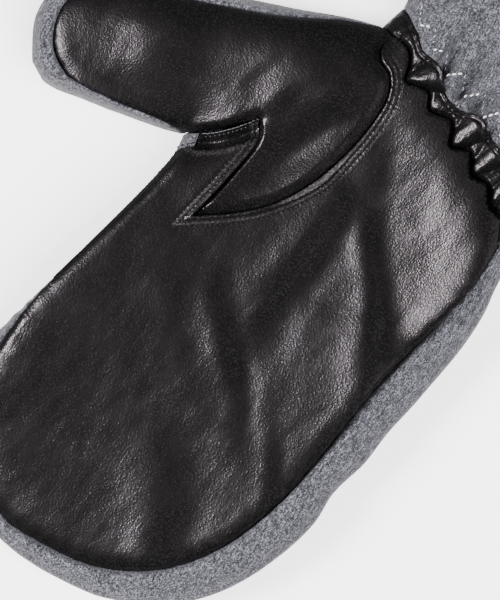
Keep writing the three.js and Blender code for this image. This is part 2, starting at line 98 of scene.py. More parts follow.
# Seams
LEATHER_EDGE = [
    (-36.5, -8.5), (-40.5, 18), (-44.6, 40), (-46, 84.4), (-49.7, 117), (-50.2, 135), (-47, 160),
    (-37.5, 181), (-20, 197.5), (1.9, 206), (15, 208.4), (36, 203.2), (50, 190), (58.5, 172),
    (61.9, 154), (63.4, 136),
]
WRIST_ROW = 1
THUMB_LEATHER_EDGE = [
    (66.6, 66.5), (75.7, 69.9), (92.4, 77), (107.1, 81.3), (118.9, 78.3), (127, 68.5), (128.6, 59),
    (122.5, 46), (98, 30), (71, 11.5), (54.5, -2.6), (43.5, -10),
]
BALL_SEAM = [
    (38, -10), (38.6, -4.5), (35.5, -0.6), (29.8, 1.1), (24.5, 7.3), (20.9, 24), (21.7, 46.1),
    (26.5, 62.2), (33.4, 73.2), (43.4, 84.8),
]
WELT = [(43.4, 84.8), (44.1, 66.2), (46.5, 48.9), (51.5, 44)]
CROTCH_SEAM = [(51.5, 44), (54.6, 51), (58.5, 57.6), (62.5, 62.4), (66.6, 66.5)]
CROTCH_MIDDLE = 3
WEB_CORNER = (60.6, 66.4)
GATHER_EDGE = [
    (-40.5, 18), (-36.5, 15.5), (-32.5, 9.5), (-27.7, 9.6), (-21.5, 4.6), (-15.2, 5.9), (-9, 0.8),
    (-2.9, 4.1), (3.1, -2.3), (11.2, 0.5), (16.3, -3.8), (24.3, -0.9), (28, -6.5), (32, -9.6), (38, -10),
]
CUFF_EDGE = [
    (-36.5, -8.5), (-30, -10), (-24, -7.4), (-16.5, -7.3), (-11.7, -8.2), (-8.4, -9.3), (-4.9, -10.7),
    (-1.3, -10.2), (2.4, -7.8), (6.2, -7.1), (10.8, -7.8), (13.5, -9.5), (17.3, -12.9), (22.3, -13.5),
    (27, -13), (33, -16), (43, -20),
]

# Folds of the leather, along rows of (x, y, height, width): a height below zero makes a valley
PALM_FOLDS = {
    "heel": [
        (12, 5, 1, 10), (-7, 10, 2.5, 13), (-26, 16, 4.8, 18), (-41, 27, 5.8, 19), (-51, 43, 5.4, 18),
        (-58, 60, 2.5, 14),
    ],
    "valley beside the heel": [
        (15, 17, -0.2, 6), (-6, 41, -1, 7), (-25, 59, -1.6, 7), (-39, 75, -1.6, 7), (-47, 90, -0.5, 6),
    ],
    "ridge from the thumb": [
        (12, 26, 0.3, 5), (-1, 45, 0.8, 5), (-21, 61, 1, 5), (-37, 78, 1, 6), (-48, 95, 0.5, 6),
    ],
    "swelling": [(-16, 54, 1, 9), (-32, 73, 3.4, 11), (-47, 92, 3.2, 12), (-55, 111, 1.5, 11)],
    "foot of the swelling": [(-12, 72, 0, 12), (-24, 88, 1.5, 14), (-36, 106, 1.5, 14), (-42, 120, 0, 12)],
    "ridge across the palm": [(12, 46, 1, 6), (10, 64, 1.5, 7), (8, 80, 1.2, 8), (4, 95, 0.3, 8)],
    "valley across the palm": [
        (5, 40, -1, 6), (1, 57, -1.1, 7), (-2, 77, -1.1, 7), (-5, 95, -1.1, 7), (-8, 108, -0.5, 6),
    ],
    "ridge down the middle": [(28, 97, 0, 6), (12, 106, 1, 6), (-2, 114, 1, 6), (-15, 121, 0.5, 5)],
    "valley down the middle": [
        (19, 93, 0, 5), (3, 103, -0.7, 5), (-11, 114, -0.8, 5), (-25, 125, -0.6, 5), (-36, 133, 0, 5),
    ],
    "sharp ridge": [
        (-4, 104, 0.2, 6), (-24, 118, 0.3, 6), (-38, 129, 0.4, 6), (-46, 138, 0.5, 6), (-51, 147, 0.4, 6),
    ],
    "valley beside it": [(-22, 111, 0, 4), (-36, 121, -0.5, 4), (-45, 130, -0.8, 4), (-52, 139, -0.5, 4)],
    "slanting valley": [(12, 145, -0.3, 8), (-6, 143, -0.8, 9), (-24, 143, -0.8, 9), (-37, 141, -0.3, 8)],
    "ridge at the fingers": [(4, 149, 0, 8), (-11, 161, 0.7, 9), (-23, 174, 1.2, 9), (-29, 183, 1.2, 8)],
    "valley at the fingers": [(-13, 143, -0.3, 8), (-26, 155, -0.7, 9), (-38, 168, -0.5, 8)],
    "ridge at the little finger": [(-37, 146, 0, 8), (-46, 155, 0.3, 9), (-50, 164, 0.3, 9)],
    "pad": [(42, 104, 0.3, 8), (32, 111, 0.8, 9), (24, 121, 0.3, 8)],
    "full index side": [(60, 85, 1, 30), (65, 120, 3, 32), (65, 155, 4, 30), (50, 190, 2.5, 28)],
    "full little-finger side": [
        (-33, 14, 1, 6), (-41, 30, 3.5, 6), (-44, 50, 2.8, 6), (-46, 77, 2, 6), (-49, 110, 1.2, 6),
        (-51, 140, 1.5, 6), (-47, 164, 1.5, 6), (-37, 182, 1, 6),
    ],
}
THUMB_FOLDS = {
    "full side of the thumb": [(40, 50, 0, 14), (47, 40, 1.5, 20), (54, 30, 2.8, 22), (60, 20, 2.8, 22)],
    "thumb tip swelling": [(88, 66, 0, 12), (93, 57, 2, 14), (97, 48, 2.5, 14)],
    "fold at the crotch": [(53, 42, 0.4, 4), (52, 34, 0.8, 5), (50, 24, 0.8, 5), (48, 16, 0.4, 4)],
    "crease beside it": [(63, 42, 0, 3), (61, 34, -0.4, 3), (59, 26, -0.2, 3)],
    "second fold": [(41, 32, 0.8, 7), (39, 22, 1.8, 8), (37, 12, 1, 7)],
    "valley in the ball": [
        (37, 66, -1, 7), (35, 52, -2, 7), (34, 40, -2, 7), (32, 27, -1.5, 7), (31, 17, 0, 7),
    ],
    "ridge along the seam": [(27, 58, 0.5, 5), (26, 46, 0.8, 5), (25, 34, 0.5, 5)],
}
CUFF_FOLDS = {
    "fold beside the thumb": [(17, -12.5, -4.5, 1.8), (18.5, -19, -5, 2.4), (20.5, -28, -2, 3.5)],
    "long fold": [(7.5, -11.5, -4.5, 2), (8, -17, -6, 2.4), (9, -23, -5, 2.8), (10.5, -32, -2, 4)],
    "short fold": [(2, -8.5, -3.5, 1.5), (1, -13.5, -4, 2), (0, -19, -1.5, 2.5)],
    "fold at the middle": [(-1.5, -12.5, -4.5, 2), (-2.5, -19, -5, 2.4), (-3.5, -27, -2, 3.5)],
}
FOLD_REACH = 2.5  # widths from its middle at which a fold has died away
FOLD_SPACING = 1.2
FOLDS_FREE = {"palm": 3.5, "thumb": 4.0, "side": 4.0}  # how far in from an edge the folds are at full height

# Puffs of the gathered strip: from the narrow end to the wide end, with half widths and height
PUFFS = [
    {"from": (31, -9), "to": (30, -15), "narrow": 2.5, "wide": 5.5, "height": 0.4},
    {"from": (23.6, -1.2), "to": (16.4, -10.8), "narrow": 1.4, "wide": 6.8, "height": 4.4},
    {"from": (11.6, 0.3), "to": (5.5, -6.5), "narrow": 1.6, "wide": 4.4, "height": 0.6},
    {"from": (-3.7, 3.3), "to": (-5.6, -8.8), "narrow": 1.4, "wide": 6.9, "height": 4.6},
    {"from": (-15.4, 4.8), "to": (-17.2, -7), "narrow": 1.4, "wide": 5.8, "height": 4.3},
    {"from": (-27.5, 8.6), "to": (-28.5, -8), "narrow": 1.4, "wide": 5.6, "height": 4.0},
    {"from": (-38, 15), "to": (-36, -8), "narrow": 1.4, "wide": 4.0, "height": 2.6},
]
PUFF = {"left": 1.1, "right": 0.85, "taper": 0.8, "start": 0.12, "sink": 0.3, "sinks_over": (0.85, 1.15)}
CREASES = {"depth": 0.5, "sharpness": 3.0}
CREASES_LEFT = {"share": 0.2, "heights": (0.8, 3.2)}  # share that is left on top of a puff
PUFF_UNEVEN = (0.5, 2)  # heights over which a puff turns uneven
GATHER_GROUND = -0.5  # height of the strip between the puffs
PIPING = [(0.5, 0.8, 0.45), (-0.45, 1.8, 0.6)]  # beads beside the cuff's seam: (height, middle, width)
GATHER_SUNK = {"depth": 1.7, "reach": 2.2}  # how the gathered strip comes up from under the palm's edge

# Layers of soft unevenness: (height, width of a ripple, its stretch along the mitten, seed)
PALM_RIPPLES = [(0.16, 7, 0.6, 3), (0.07, 3, 0.5, 8)]
THUMB_RIPPLES = [(0.16, 7, 0.6, 5), (0.07, 3, 0.5, 9)]
FABRIC_RIPPLES = [(0.35, 14, 0.5, 31), (0.12, 5, 0.4, 32)]
CUFF_RIPPLES = [(0.9, 22, 0.4, 42), (0.3, 8, 0.4, 43)]
CUFF_SWAY = [(2.2, 16, 0.5, 41)]
PUFF_RIPPLES = [(0.06, 1.6, 0.7, 23)]
CREASE_RIPPLES = [(1, 3.0, 0.35, 21)]
WRINKLE_RIPPLES = [(0.22, 1.3, 0.35, 22)]

# Profile across a lapped, topstitched seam: (distance from the folded edge, height)
LAP_PROFILE = [(0, 0), (1.1, 0.08), (1.8, -0.14), (2.65, 0.1), (3.5, -0.14), (4.8, 0)]
LAP_SHARE = [(36, 0.25), (50, 1.7), (80, 1.7), (95, 1)]  # (length along the ball seam, share of the profile)
LAP_WALL = {"thin": 1.4, "reach": (0.5, 4.5)}  # the palm is thin where it laps over the thumb's panel
STITCH_ROWS = (1.8, 3.5)
HOLE = {"depth": 0.14, "width": 0.45}
BALL_RIM = [  # the rim that rises from the folded edge: (length along the ball seam, width)
    (0, 0.8), (36, 0.8), (48, 1.1), (62, 2.2), (74, 1.4), (84, 0.8), (109, 0.8),
]
RIM_SLOPE = 0.38
RIM_FADE = 0.7
RIM_ROOM = 1.1  # a wider rim pushes the stitch rows outwards
WELT_BEAD = {"height": 0.5, "middle": 0.55, "width": 0.5}
CORNER_REACH = 14.0
PAINTED_HIGHLIGHT = {"rim": 0.35, "wide rim": 0.8, "ridge": 0.3, "crest": 0.25}  # how much paler the painted highlight makes each edge, of 1
PAINTED_HIGHLIGHT_BANDS = {"ridge": (2.65, 0.35), "bead": (0.55, 0.45), "crest": (7.6, 0.8)}  # bands of the painted highlight: (middle, width)
PAINTED_HIGHLIGHT_FROM = (22, 36)  # lengths along the ball seam over which the painted highlight sets in
PAINTED_HIGHLIGHT_FADE = {"narrow": 0.5, "past": 0.3}  # painted highlight on the rim: from this share of a narrow rim's width to this far past it
WIDE_RIM = (0.9, 1.6)  # widths between which a rim turns from narrow to wide
CREST_FREE = (2, 5)  # distances from the welt over which the painted highlight on the crest sets in
TUCK = {"depth": 1.9, "ball": 4.5, "welt": 1.6}  # how far the panel under a lap drops, and over what reach
CROTCH_DIP = {"depth": 4.0, "palm": 8.0, "thumb": 1.6, "from_side": 10.0}  # and over what reach
CROTCH_PROFILE = [(0, -0.3), (1.5, -0.2), (4, 0)]  # on the thumb
LIP_FREE = 3.0  # how far from the lapped seams that profile is at full height
POCKET_PROFILE = [  # beside the crotch, on the palm
    (0, 0.9), (0.7, 1.4), (1.5, 0.3), (3.2, -2.2), (5, -1.8), (6.8, 0.2), (8.6, 0),
]
SEAM_FALL = {"depth": 2.0, "palm": 8.0, "thumb": 6.0, "from_side": (2, 9)}  # the leather's drop to the fabric
THUMB_TIP = {"at": (127, 64), "reach": 14.0, "less": 0.8}  # where that drop is less
PUCKERS = {"pitch": 7.5, "leather": (0.22, 4), "fabric": (0.25, 3)}  # (height, reach)
PUCKER_SWAY = {"height": 1.5, "reach": 11.0}
BAND_FOLD = {"height": -0.35, "middle": 2.2, "width": 0.7, "sets_in": (10, 40)}  # follows the outline
BAND_FROM, BAND_TO = 0.4 * SIDE_HEIGHT, 0.8 * SIDE_HEIGHT  # heights over which the fabric turns uneven
CUFF_WAVES = [(1.5, 7.6, 0.0), (0.5, 3.9, 1.3)]  # gathers along the cuff's seam: (height, pitch, start)
CUFF_GATHERS = {"reach": 35.0, "from_side": (2, 12), "heights": (10, 20)}
CUFF_PLAIN = (2, 12)  # distances from the cuff's seam over which its unevenness sets in
ZIGZAG = [  # corners of the row of zigzag stitches on the cuff
    (39, -24.5), (34.6, -18.6), (29.8, -21.9), (25.3, -15.4), (20.6, -18.6), (15.6, -12.2), (11.2, -17.7),
    (6, -11.5), (1.3, -18.2), (-3.9, -10.9), (-7.2, -16.7), (-12.3, -10.4), (-16.2, -15.8), (-21.8, -9.6),
    (-25.6, -15.4), (-30.6, -12), (-34.4, -17.6),
]

# Edges of the panels
ROLL = {"crisp": 0.3, "leather": 1.1, "fabric": 0.9}  # how far an edge rolls in: crisp at the seams in sight
CRISP_REACH = {"leather": 4.0, "fabric": 3.0}
RELIEF_RISE = (-0.3, 0.4)  # distances in from an edge over which the ridges rise
SEAM_GAP = 0.12
ON_LINE = 0.01  # distance up to which a place counts as on the side line

# Steps of the lines and meshes
CURVE_STEPS = 60  # between two rows of a table
SIDE_STEP = 0.4
LINE_STEP = 0.6
FINE_STEP = 0.5
GATHER_STEP = 0.4
COARSE_STEP = 0.9
FINE_REACH = 6.5  # the mesh is fine this near to a topstitched seam
CLEAR_OF_EDGE = 0.55  # steps that the mesh keeps clear inside an outline
SPREAD = 10.0  # how far in from the side line the plan is opened out for meshing
SEAM_STEP = 0.7  # of the fabric, along its seams
UNDER_RINGS = [0, 0.2, 0.6, 1.2, 2, 3, 4.3, 6, 8, 10.5, 13, 16, 21, 28]
HAND_MIDDLE, THUMB_MIDDLE = np.array([5.0, 75.0]), np.array([92.0, 43.0])  # where the rings close underneath
ACROSS = np.sin(np.linspace(0, math.pi / 2, 22))  # shares of the way from a seam to the side line
UNDERNEATH = 0.5 - 0.5 * np.cos(np.linspace(0, math.pi, 90))  # shares of the way under the wrist
CUFF_RINGS = 105
CUFF_SIDE_STEPS = 300
ROOT_STEPS = 110
PANEL_SMOOTH, THREAD_SMOOTH = 50, 60  # degrees up to which an edge is shaded smooth

# Stitches, in millimetres: how far off their line, visible length, thickness, pitch and lift
PLACES_STEP = 0.1
STITCH_SHARE = 0.65  # share of the pitch that the thread shows
STITCH_SUNK = -0.05
CROTCH_STITCH = {"off": 1.5, "length": 0.5, "thick": 0.3, "pitch_share": 0.87, "lift": 0.0}
# A near-continuous grey thread on the crotch's folded edge: real thread that also stands in as a painted
# highlight along that edge
CROTCH_HIGHLIGHT_THREAD = {"off": 0.5, "length": 1.6, "thick": 0.3, "pitch": 1.5, "lift": 0.1}
WEB_STITCH = {"off": -0.7, "lift": 0.1}
ZIGZAG_PITCH = 2.1
ZIGZAG_BOLD = {"length": 1.7, "thick": 0.62, "lift": 0.12}
ZIGZAG_FAINT = {"length": 1.5, "thick": 0.18, "lift": 0.0}
THREAD_SIDES, THREAD_CUTS = 8, 4
THREAD_DIVE = 0.55  # thicknesses by which a stitch's ends dive
THREAD_END = 0.05  # square of the share of its thickness that an end keeps
AHEAD = 3  # points on either side that give a stitch its direction
OVERHEAD = 200.0

# Finishes: tones are (place along the pattern, factor on the colour), bumps are in metres
GRAIN_TURN = 15  # degrees
LEATHER_STRETCH, CREASE_STRETCH = (1, 1.3, 1), (1, 2.6, 1)
LEATHER_SCALES = {"sway": 700, "small": 1.5, "patches": 60, "crease": 4}
LEATHER_SWAY = 0.35  # share of a pebble's size by which it is moved
PEBBLE_RANGE = (0.05, 0.75)
CREASE_RANGE = (0, 0.12)
LEATHER_MIX = {"pebble": 0.65, "small": 0.35}
LEATHER_TONES = [(0.2, 0.3), (0.5, 0.8), (0.85, 2.2)]
LEATHER_BUMPS = {"small": 0.00005, "pebble": 0.000044, "crease": 0.000012}
LEATHER_ROUGHNESS = {"patches": (0.3, 0.7, 0.24, 0.3), "furrows": (0.1, 0.5, 0.12, 0)}
FABRIC_STRETCH, YARN_STRETCH = (1, 1.4, 1), (1, 6, 1)
YARN_SCALE = 0.55
FABRIC_MIX = {"flecks": 0.45, "yarns": 0.7}
FABRIC_TONES = [(0.28, 0.12), (0.58, 0.8), (0.88, 3.4)]
FABRIC_BUMP = 0.00015
THREAD_TONES = [(0.3, 0.7), (0.7, 1.2)]
THREAD_SCALE = 1.2
THREAD_BUMP = 0.0001

# Stage, in metres
VIEW_CENTRE = (-0.0274, 0.0295)
VIEW_HEIGHT = 0.210  # height of the picture at the palm
PALM_LEVEL = 0.029
CAMERA_AWAY = 1.2
SENSOR = 36
LAMP_AIM = 0.02
LAMPS = [  # name, direction, distance, size, power, whether it shows in glossy surfaces
    ("key", (0.77, 0.6, 1.02), 3.0, 1.1, 240.0, True),
    ("fill", (-0.9, -0.5, 0.5), 2.6, 2.0, 14.0, True),
    ("ceiling", (-0.5, 0.0, 0.87), 2.6, 2.0, 200.0, False),
]
ROOM_LIGHT = 0.13
FLOOR_GLOW = 1.2
FLOOR_SIZE = 6
FLOOR_LEVEL = -0.0003


# Sizes and colours that a user may change

class MittenSizes(bpy.types.PropertyGroup):
    stitch_pitch: FloatProperty(
        name="Stitch pitch", description="Length of one stitch and its gap", default=0.0018,
        min=0.001, max=0.004, unit="LENGTH", precision=4,
    )
    thread: FloatProperty(
        name="Thread", description="Thickness of the sewing thread", default=0.0005,
        min=0.0002, max=0.001, unit="LENGTH", precision=4,
    )
    grain: FloatProperty(
        name="Grain", description="Size of one pebble of the leather's grain", default=0.0007,
        min=0.0003, max=0.003, unit="LENGTH", precision=4,
    )
    fleck: FloatProperty(
        name="Fleck", description="Size of one fleck of the melange yarn", default=0.00032,
        min=0.0002, max=0.001, unit="LENGTH", precision=5,
    )


class MittenLook(bpy.types.PropertyGroup):
    leather: FloatVectorProperty(
        name="Leather", description="Colour of the leather", subtype="COLOR", size=3,
        default=(0.0039, 0.0036, 0.0038), min=0, max=1,
    )
    # How strongly the painted highlight pales the leather's lapped edges, the welt's bead and the crest
    painted_highlight_gain: FloatProperty(
        name="Rubbing", description="How many times paler the rubbed edges of the leather are", default=16.0,
        min=0, max=40,
    )
    fabric: FloatVectorProperty(
        name="Fabric", description="Mean colour of the melange fabric", subtype="COLOR", size=3,
        default=(0.046, 0.0455, 0.0535), min=0, max=1,
    )
    dark_thread: FloatVectorProperty(
        name="Leather thread", description="Colour of the thread on the leather", subtype="COLOR", size=3,
        default=(0.004, 0.004, 0.0045), min=0, max=1,
    )
    # Grey thread, paler than the black thread on the leather: partly the thread's own colour, partly a
    # painted highlight along the crotch's folded edge
    highlight_grey_thread: FloatVectorProperty(
        name="Seam thread", description="Colour of the thread that shows in the hollow beside the thumb",
        subtype="COLOR", size=3, default=(0.09, 0.09, 0.095), min=0, max=1,
    )
    pale_thread: FloatVectorProperty(
        name="Cuff thread", description="Colour of the zigzag thread", subtype="COLOR", size=3,
        default=(0.75, 0.75, 0.78), min=0, max=1,
    )
    floor: FloatVectorProperty(
        name="Floor", description="Colour of the floor", subtype="COLOR", size=3,
        default=(0.95, 0.95, 0.95), min=0, max=1,
    )


# Lines in plan

def smooth_run(rows, first=0, last=None, spacing=LINE_STEP):
    """Points at even spacing on a centripetal Catmull-Rom curve, from one of its rows to another."""
    p = np.array(rows, float)
    last = len(p) - 1 if last is None else last
    ext = np.vstack([2 * p[0] - p[1], p, 2 * p[-1] - p[-2]])
    dense = []
    for k in range(first, last):
        p0, p1, p2, p3 = ext[k:k + 4]
        d0, d1, d2 = (math.sqrt(np.linalg.norm(b - a)) for a, b in ((p0, p1), (p1, p2), (p2, p3)))
        t1 = ((p1 - p0) / d0 - (p2 - p0) / (d0 + d1) + (p2 - p1) / d1) * d1
        t2 = ((p2 - p1) / d1 - (p3 - p1) / (d1 + d2) + (p3 - p2) / d2) * d1
        t = np.linspace(0, 1, CURVE_STEPS, endpoint=False)[:, None]
        dense.append(
            (2 * t**3 - 3 * t**2 + 1) * p1 + (t**3 - 2 * t**2 + t) * t1
            + (3 * t**2 - 2 * t**3) * p2 + (t**3 - t**2) * t2
        )
    return even_run(np.vstack([*dense, p[last]]), spacing)


def even_run(points, spacing):
    """The same line with its points at even spacing."""
    points = np.asarray(points, float)
    lengths = np.concatenate([[0], np.cumsum(np.linalg.norm(np.diff(points, axis=0), axis=1))])
    count = max(1, round(lengths[-1] / spacing))
    at = np.linspace(0, lengths[-1], count + 1)
    return np.stack([np.interp(at, lengths, column) for column in points.T], axis=1)


def join(*runs):
    """One line from several that end where the next one starts."""
    return np.vstack([runs[0], *(run[1:] for run in runs[1:])])


def unit(vectors):
    """The vectors with a length of 1."""
    return vectors / np.maximum(np.linalg.norm(vectors, axis=-1, keepdims=True), 1e-12)


def ramp(value, low, high):
    """Smooth step from 0 at the low value to 1 at the high one."""
    t = np.clip((value - low) / (high - low), 0, 1)
    return t * t * (3 - 2 * t)


def mix(a, b, t):
    return a + (b - a) * t


def bell(distance, middle=0.0, width=1.0):
    """1 at the middle, dying away over the width on both sides of it."""
    return np.exp(-((distance - middle) / width) ** 2)


def carried_on(run, reach):
    """The point that lies straight on past the end of a run."""
    return run[-1] + unit(run[-1] - run[-4]) * reach


class Line:
    """A line of close points, in plan or in space, that knows how far places are from it."""

    def __init__(self, points):
        self.points = np.asarray(points, float)
        self.lengths = np.concatenate(
            [[0], np.cumsum(np.linalg.norm(np.diff(self.points, axis=0), axis=1))]
        )
        self.tree = KDTree(len(self.points))
        for i, p in enumerate(self.points):
            self.tree.insert(self.lift(p), i)
        self.tree.balance()

    @staticmethod
    def lift(p):
        return (p[0], p[1], p[2] if len(p) > 2 else 0.0)

    def nearest(self, places):
        """Distance to each place, its side (1 on the left), the length along, and the nearest point."""
        places = np.asarray(places, float)[:, :self.points.shape[1]]
        at = np.array([self.tree.find(self.lift(p))[1] for p in places])
        best = None
        for shift in (-1, 0):
            start = np.clip(at + shift, 0, len(self.points) - 2)
            a = self.points[start]
            along = self.points[start + 1] - a
            t = np.clip(((places - a) * along).sum(1) / np.maximum((along**2).sum(1), 1e-12), 0, 1)
            foot = a + along * t[:, None]
            distance = np.linalg.norm(places - foot, axis=1)
            side = np.sign(along[:, 0] * (places - a)[:, 1] - along[:, 1] * (places - a)[:, 0])
            length = mix(self.lengths[start], self.lengths[start + 1], t)
            found = [distance, side, length, foot]
            if best is None:
                best = found
            else:
                nearer = distance < best[0]
                best = [np.where(nearer[:, None] if x.ndim > 1 else nearer, x, y)
                        for x, y in zip(found, best)]
        return best

    def distance(self, places):
        return self.nearest(places)[0]

    def left_of(self, places):
        """Distance to each place, above zero on the left of the line, and the length along it."""
        distance, side, along, _ = self.nearest(places)
        return distance * side, along


# The mitten's lines

def cuff_side_x(side, y):
    """x of the cuff's side at y: side is -1 on the little-finger side and 1 on the thumb's."""
    start = CUFF_LITTLE if side < 0 else CUFF_THUMB
    down = np.clip((start[1] - y) / (start[1] - CUFF_END_Y), 0, 1)
    return mix(start[0], CUFF_CENTRE_X + side * CUFF_END_HALF, np.sin(down * math.pi / 2))


def cuff_side(side):
    """The cuff's side, carried on past its open end."""
    start = CUFF_LITTLE if side < 0 else CUFF_THUMB
    y = np.linspace(start[1], CUFF_END_Y - 2 * TOP_ROUND, CUFF_SIDE_STEPS)
    return np.stack([cuff_side_x(side, y), y], axis=1)


hand_side = smooth_run(HAND_SIDE, spacing=SIDE_STEP)
thumb_side = smooth_run(THUMB_SIDE, spacing=SIDE_STEP)
wrist_side = even_run([WRIST_THUMB, CUFF_THUMB], SIDE_STEP)
SIDE = Line(join(cuff_side(-1)[::-1], hand_side, thumb_side, wrist_side, cuff_side(1)))
ball_seam = smooth_run(BALL_SEAM)
welt = smooth_run(WELT)
crotch_lower = smooth_run(CROTCH_SEAM, last=CROTCH_MIDDLE)
crotch_upper = smooth_run(CROTCH_SEAM, first=CROTCH_MIDDLE)
leather_edge = smooth_run(LEATHER_EDGE, first=WRIST_ROW)
cuff_below = mix(np.array(CUFF_THUMB, float), np.array(CUFF_LITTLE, float), UNDERNEATH[:, None])
EDGE = Line(leather_edge)
BALL = Line(ball_seam)
WELT_LINE = Line(welt)
BALL_LONG = Line(join(ball_seam, even_run([ball_seam[-1], carried_on(ball_seam, CORNER_REACH)], LINE_STEP)))
WELT_LONG = Line(join(even_run([carried_on(welt[::-1], CORNER_REACH), welt[0]], LINE_STEP), welt))
CROTCH = Line(join(crotch_lower, crotch_upper))
POCKET = Line(crotch_lower)
GATHER = Line(smooth_run(GATHER_EDGE))
CUFF_SEAM = Line(smooth_run(CUFF_EDGE))


def from_laps(places):
    """Distance from the lapped seams: the ball seam and the welt."""
    return np.minimum(BALL.distance(places), WELT_LINE.distance(places))


# Heights

def quarter_round(q):
    """Rises from 0 to 1 along a quarter of a circle."""
    return np.sqrt(1 - (1 - np.clip(q, 0, 1)) ** 2)


def side_height(y):
    """Height of the side line."""
    return mix(SIDE_HEIGHT, CUFF_SIDE_HEIGHT, ramp(-y, -CUFF_SEAM_Y, -CUFF_END_Y))


def rise(y):
    """How far the top stands above the side line."""
    hand = mix(PALM_RISE, TIP_RISE, ramp(y, TIP_FROM, TIP_TO))
    wrist = mix(hand, WRIST_RISE, ramp(-y, -WRIST_FROM, -CUFF_SEAM_Y))
    return mix(wrist, CUFF_RISE, ramp(-y, -CUFF_SEAM_Y, -CUFF_END_Y))


def from_side(places):
    """Distance in from the side line: none for places on it."""
    distance = SIDE.distance(places)
    return np.where(distance < ON_LINE, 0, distance)


def crown(places):
    """Share of the rise at each place: a wide round, but a tight one with a shoulder on the index side."""
    x, y = places[:, 0], places[:, 1]
    index = ramp(x, *INDEX_ZONE["x"]) * ramp(y, *INDEX_ZONE["y"]) * (1 - ramp(y, *INDEX_ZONE["tips"]))
    inward = from_side(places)
    shoulder = quarter_round(inward / INDEX_SHOULDER["round"])
    full = mix(quarter_round(inward / INDEX_ROUND), shoulder, INDEX_SHOULDER["share"])
    return mix(quarter_round(inward / TOP_ROUND), full, index)


def top_z(places):
    """Height of the plain top, before its folds."""
    y = places[:, 1]
    return side_height(y) + rise(y) * crown(places)


def under_z(places):
    """Height of the underside, which lies flat in the middle."""
    return side_height(places[:, 1]) * (1 - quarter_round(from_side(places) / UNDER_ROUND))


def crotch_dip(places, panel):
    """How far a panel dips at the crotch between the palm and the thumb."""
    dip = CROTCH_DIP["depth"] * bell(CROTCH.distance(places), width=CROTCH_DIP[panel])
    return dip * ramp(SIDE.distance(places), 0, CROTCH_DIP["from_side"])


def flap_z(places):
    return top_z(places) - crotch_dip(places, "palm")


def thumb_z(places):
    return top_z(places) - crotch_dip(places, "thumb")


def fold_relief(places, folds):
    """Height of the ridges and valleys at each place."""
    total = np.zeros(len(places))
    for rows in folds.values():
        run = smooth_run(rows, spacing=FOLD_SPACING)
        line = Line(run[:, :2])
        reach = FOLD_REACH * run[:, 3].max()
        low, high = line.points.min(0) - reach, line.points.max(0) + reach
        near = np.all((places > low) & (places < high), axis=1)
        distance, _, along, _ = line.nearest(places[near])
        height, width = (np.interp(along, line.lengths, run[:, k]) for k in (2, 3))
        total[near] += height * bell(distance, width=width)
    return total


def profile(distance, rows):
    """Smooth height at a distance, from rows of (distance, height)."""
    at, heights = np.array(rows, float).T
    k = np.clip(np.searchsorted(at, distance) - 1, 0, len(at) - 2)
    return mix(heights[k], heights[k + 1], ramp(distance, at[k], at[k + 1]))


def ripple(places, scale, stretch, seed):
    """Soft noise between -1 and 1 over the plan, with ripples about scale millimetres wide."""
    sx, sy = 1 / scale, stretch / scale
    return np.array([noise.noise((p[0] * sx, p[1] * sy, seed)) for p in places])


def uneven(places, layers):
    """Soft unevenness from rows of (height, width of a ripple, its stretch along the mitten, seed)."""
    return sum(height * ripple(places, scale, stretch, seed) for height, scale, stretch, seed in layers)


def puckers(places, edge, piece):
    """Puckers of the leather or the fabric beside their seam."""
    height, reach = PUCKERS[piece]
    distance, _, along, _ = edge.nearest(places)
    sway = PUCKER_SWAY["height"] * np.sin(along / PUCKER_SWAY["reach"])
    wave = np.sin(along * 2 * math.pi / PUCKERS["pitch"] + sway)
    return height * wave * bell(distance, width=reach)


# Meshes

def triangle_normals(points, faces):
    """Normals at the points of a mesh of triangles."""
    a, b, c = (points[faces[:, k]] for k in range(3))
    across = np.cross(b - a, c - a)
    normals = np.zeros_like(points)
    for k in range(3):
        np.add.at(normals, faces[:, k], across)
    return unit(normals)


def border_of(faces):
    """Loops of point numbers round the open edges of a mesh, in the direction of its faces."""
    edges = np.vstack([faces[:, [0, 1]], faces[:, [1, 2]], faces[:, [2, 0]]])
    used = {tuple(e) for e in edges.tolist()}
    following = {a: b for a, b in used if (b, a) not in used}
    loops = []
    while following:
        start, at = following.popitem()
        loop = [start]
        while at != start:
            loop.append(at)
            at = following.pop(at)
        loops.append(loop)
    return loops


def maker_mesh(name, points, faces):
    """A mesh from points in the maker's millimetres."""
    mesh = bpy.data.meshes.new(name)
    mesh.from_pydata(((np.asarray(points) - PLAN_CENTRE) * MM).tolist(), [], faces)
    return mesh


def put_in_scene(name, mesh, material, smooth_angle):
    """A piece of that mesh and material, riding on the mitten."""
    mesh.materials.append(material)
    piece = bpy.data.objects.new(name, mesh)
    bpy.context.scene.collection.objects.link(piece)
    bpy.ops.object.select_all(action="DESELECT")
    piece.select_set(True)
    bpy.context.view_layer.objects.active = piece
    bpy.ops.object.shade_smooth_by_angle(angle=math.radians(smooth_angle))
    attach(piece, "root")
    return piece


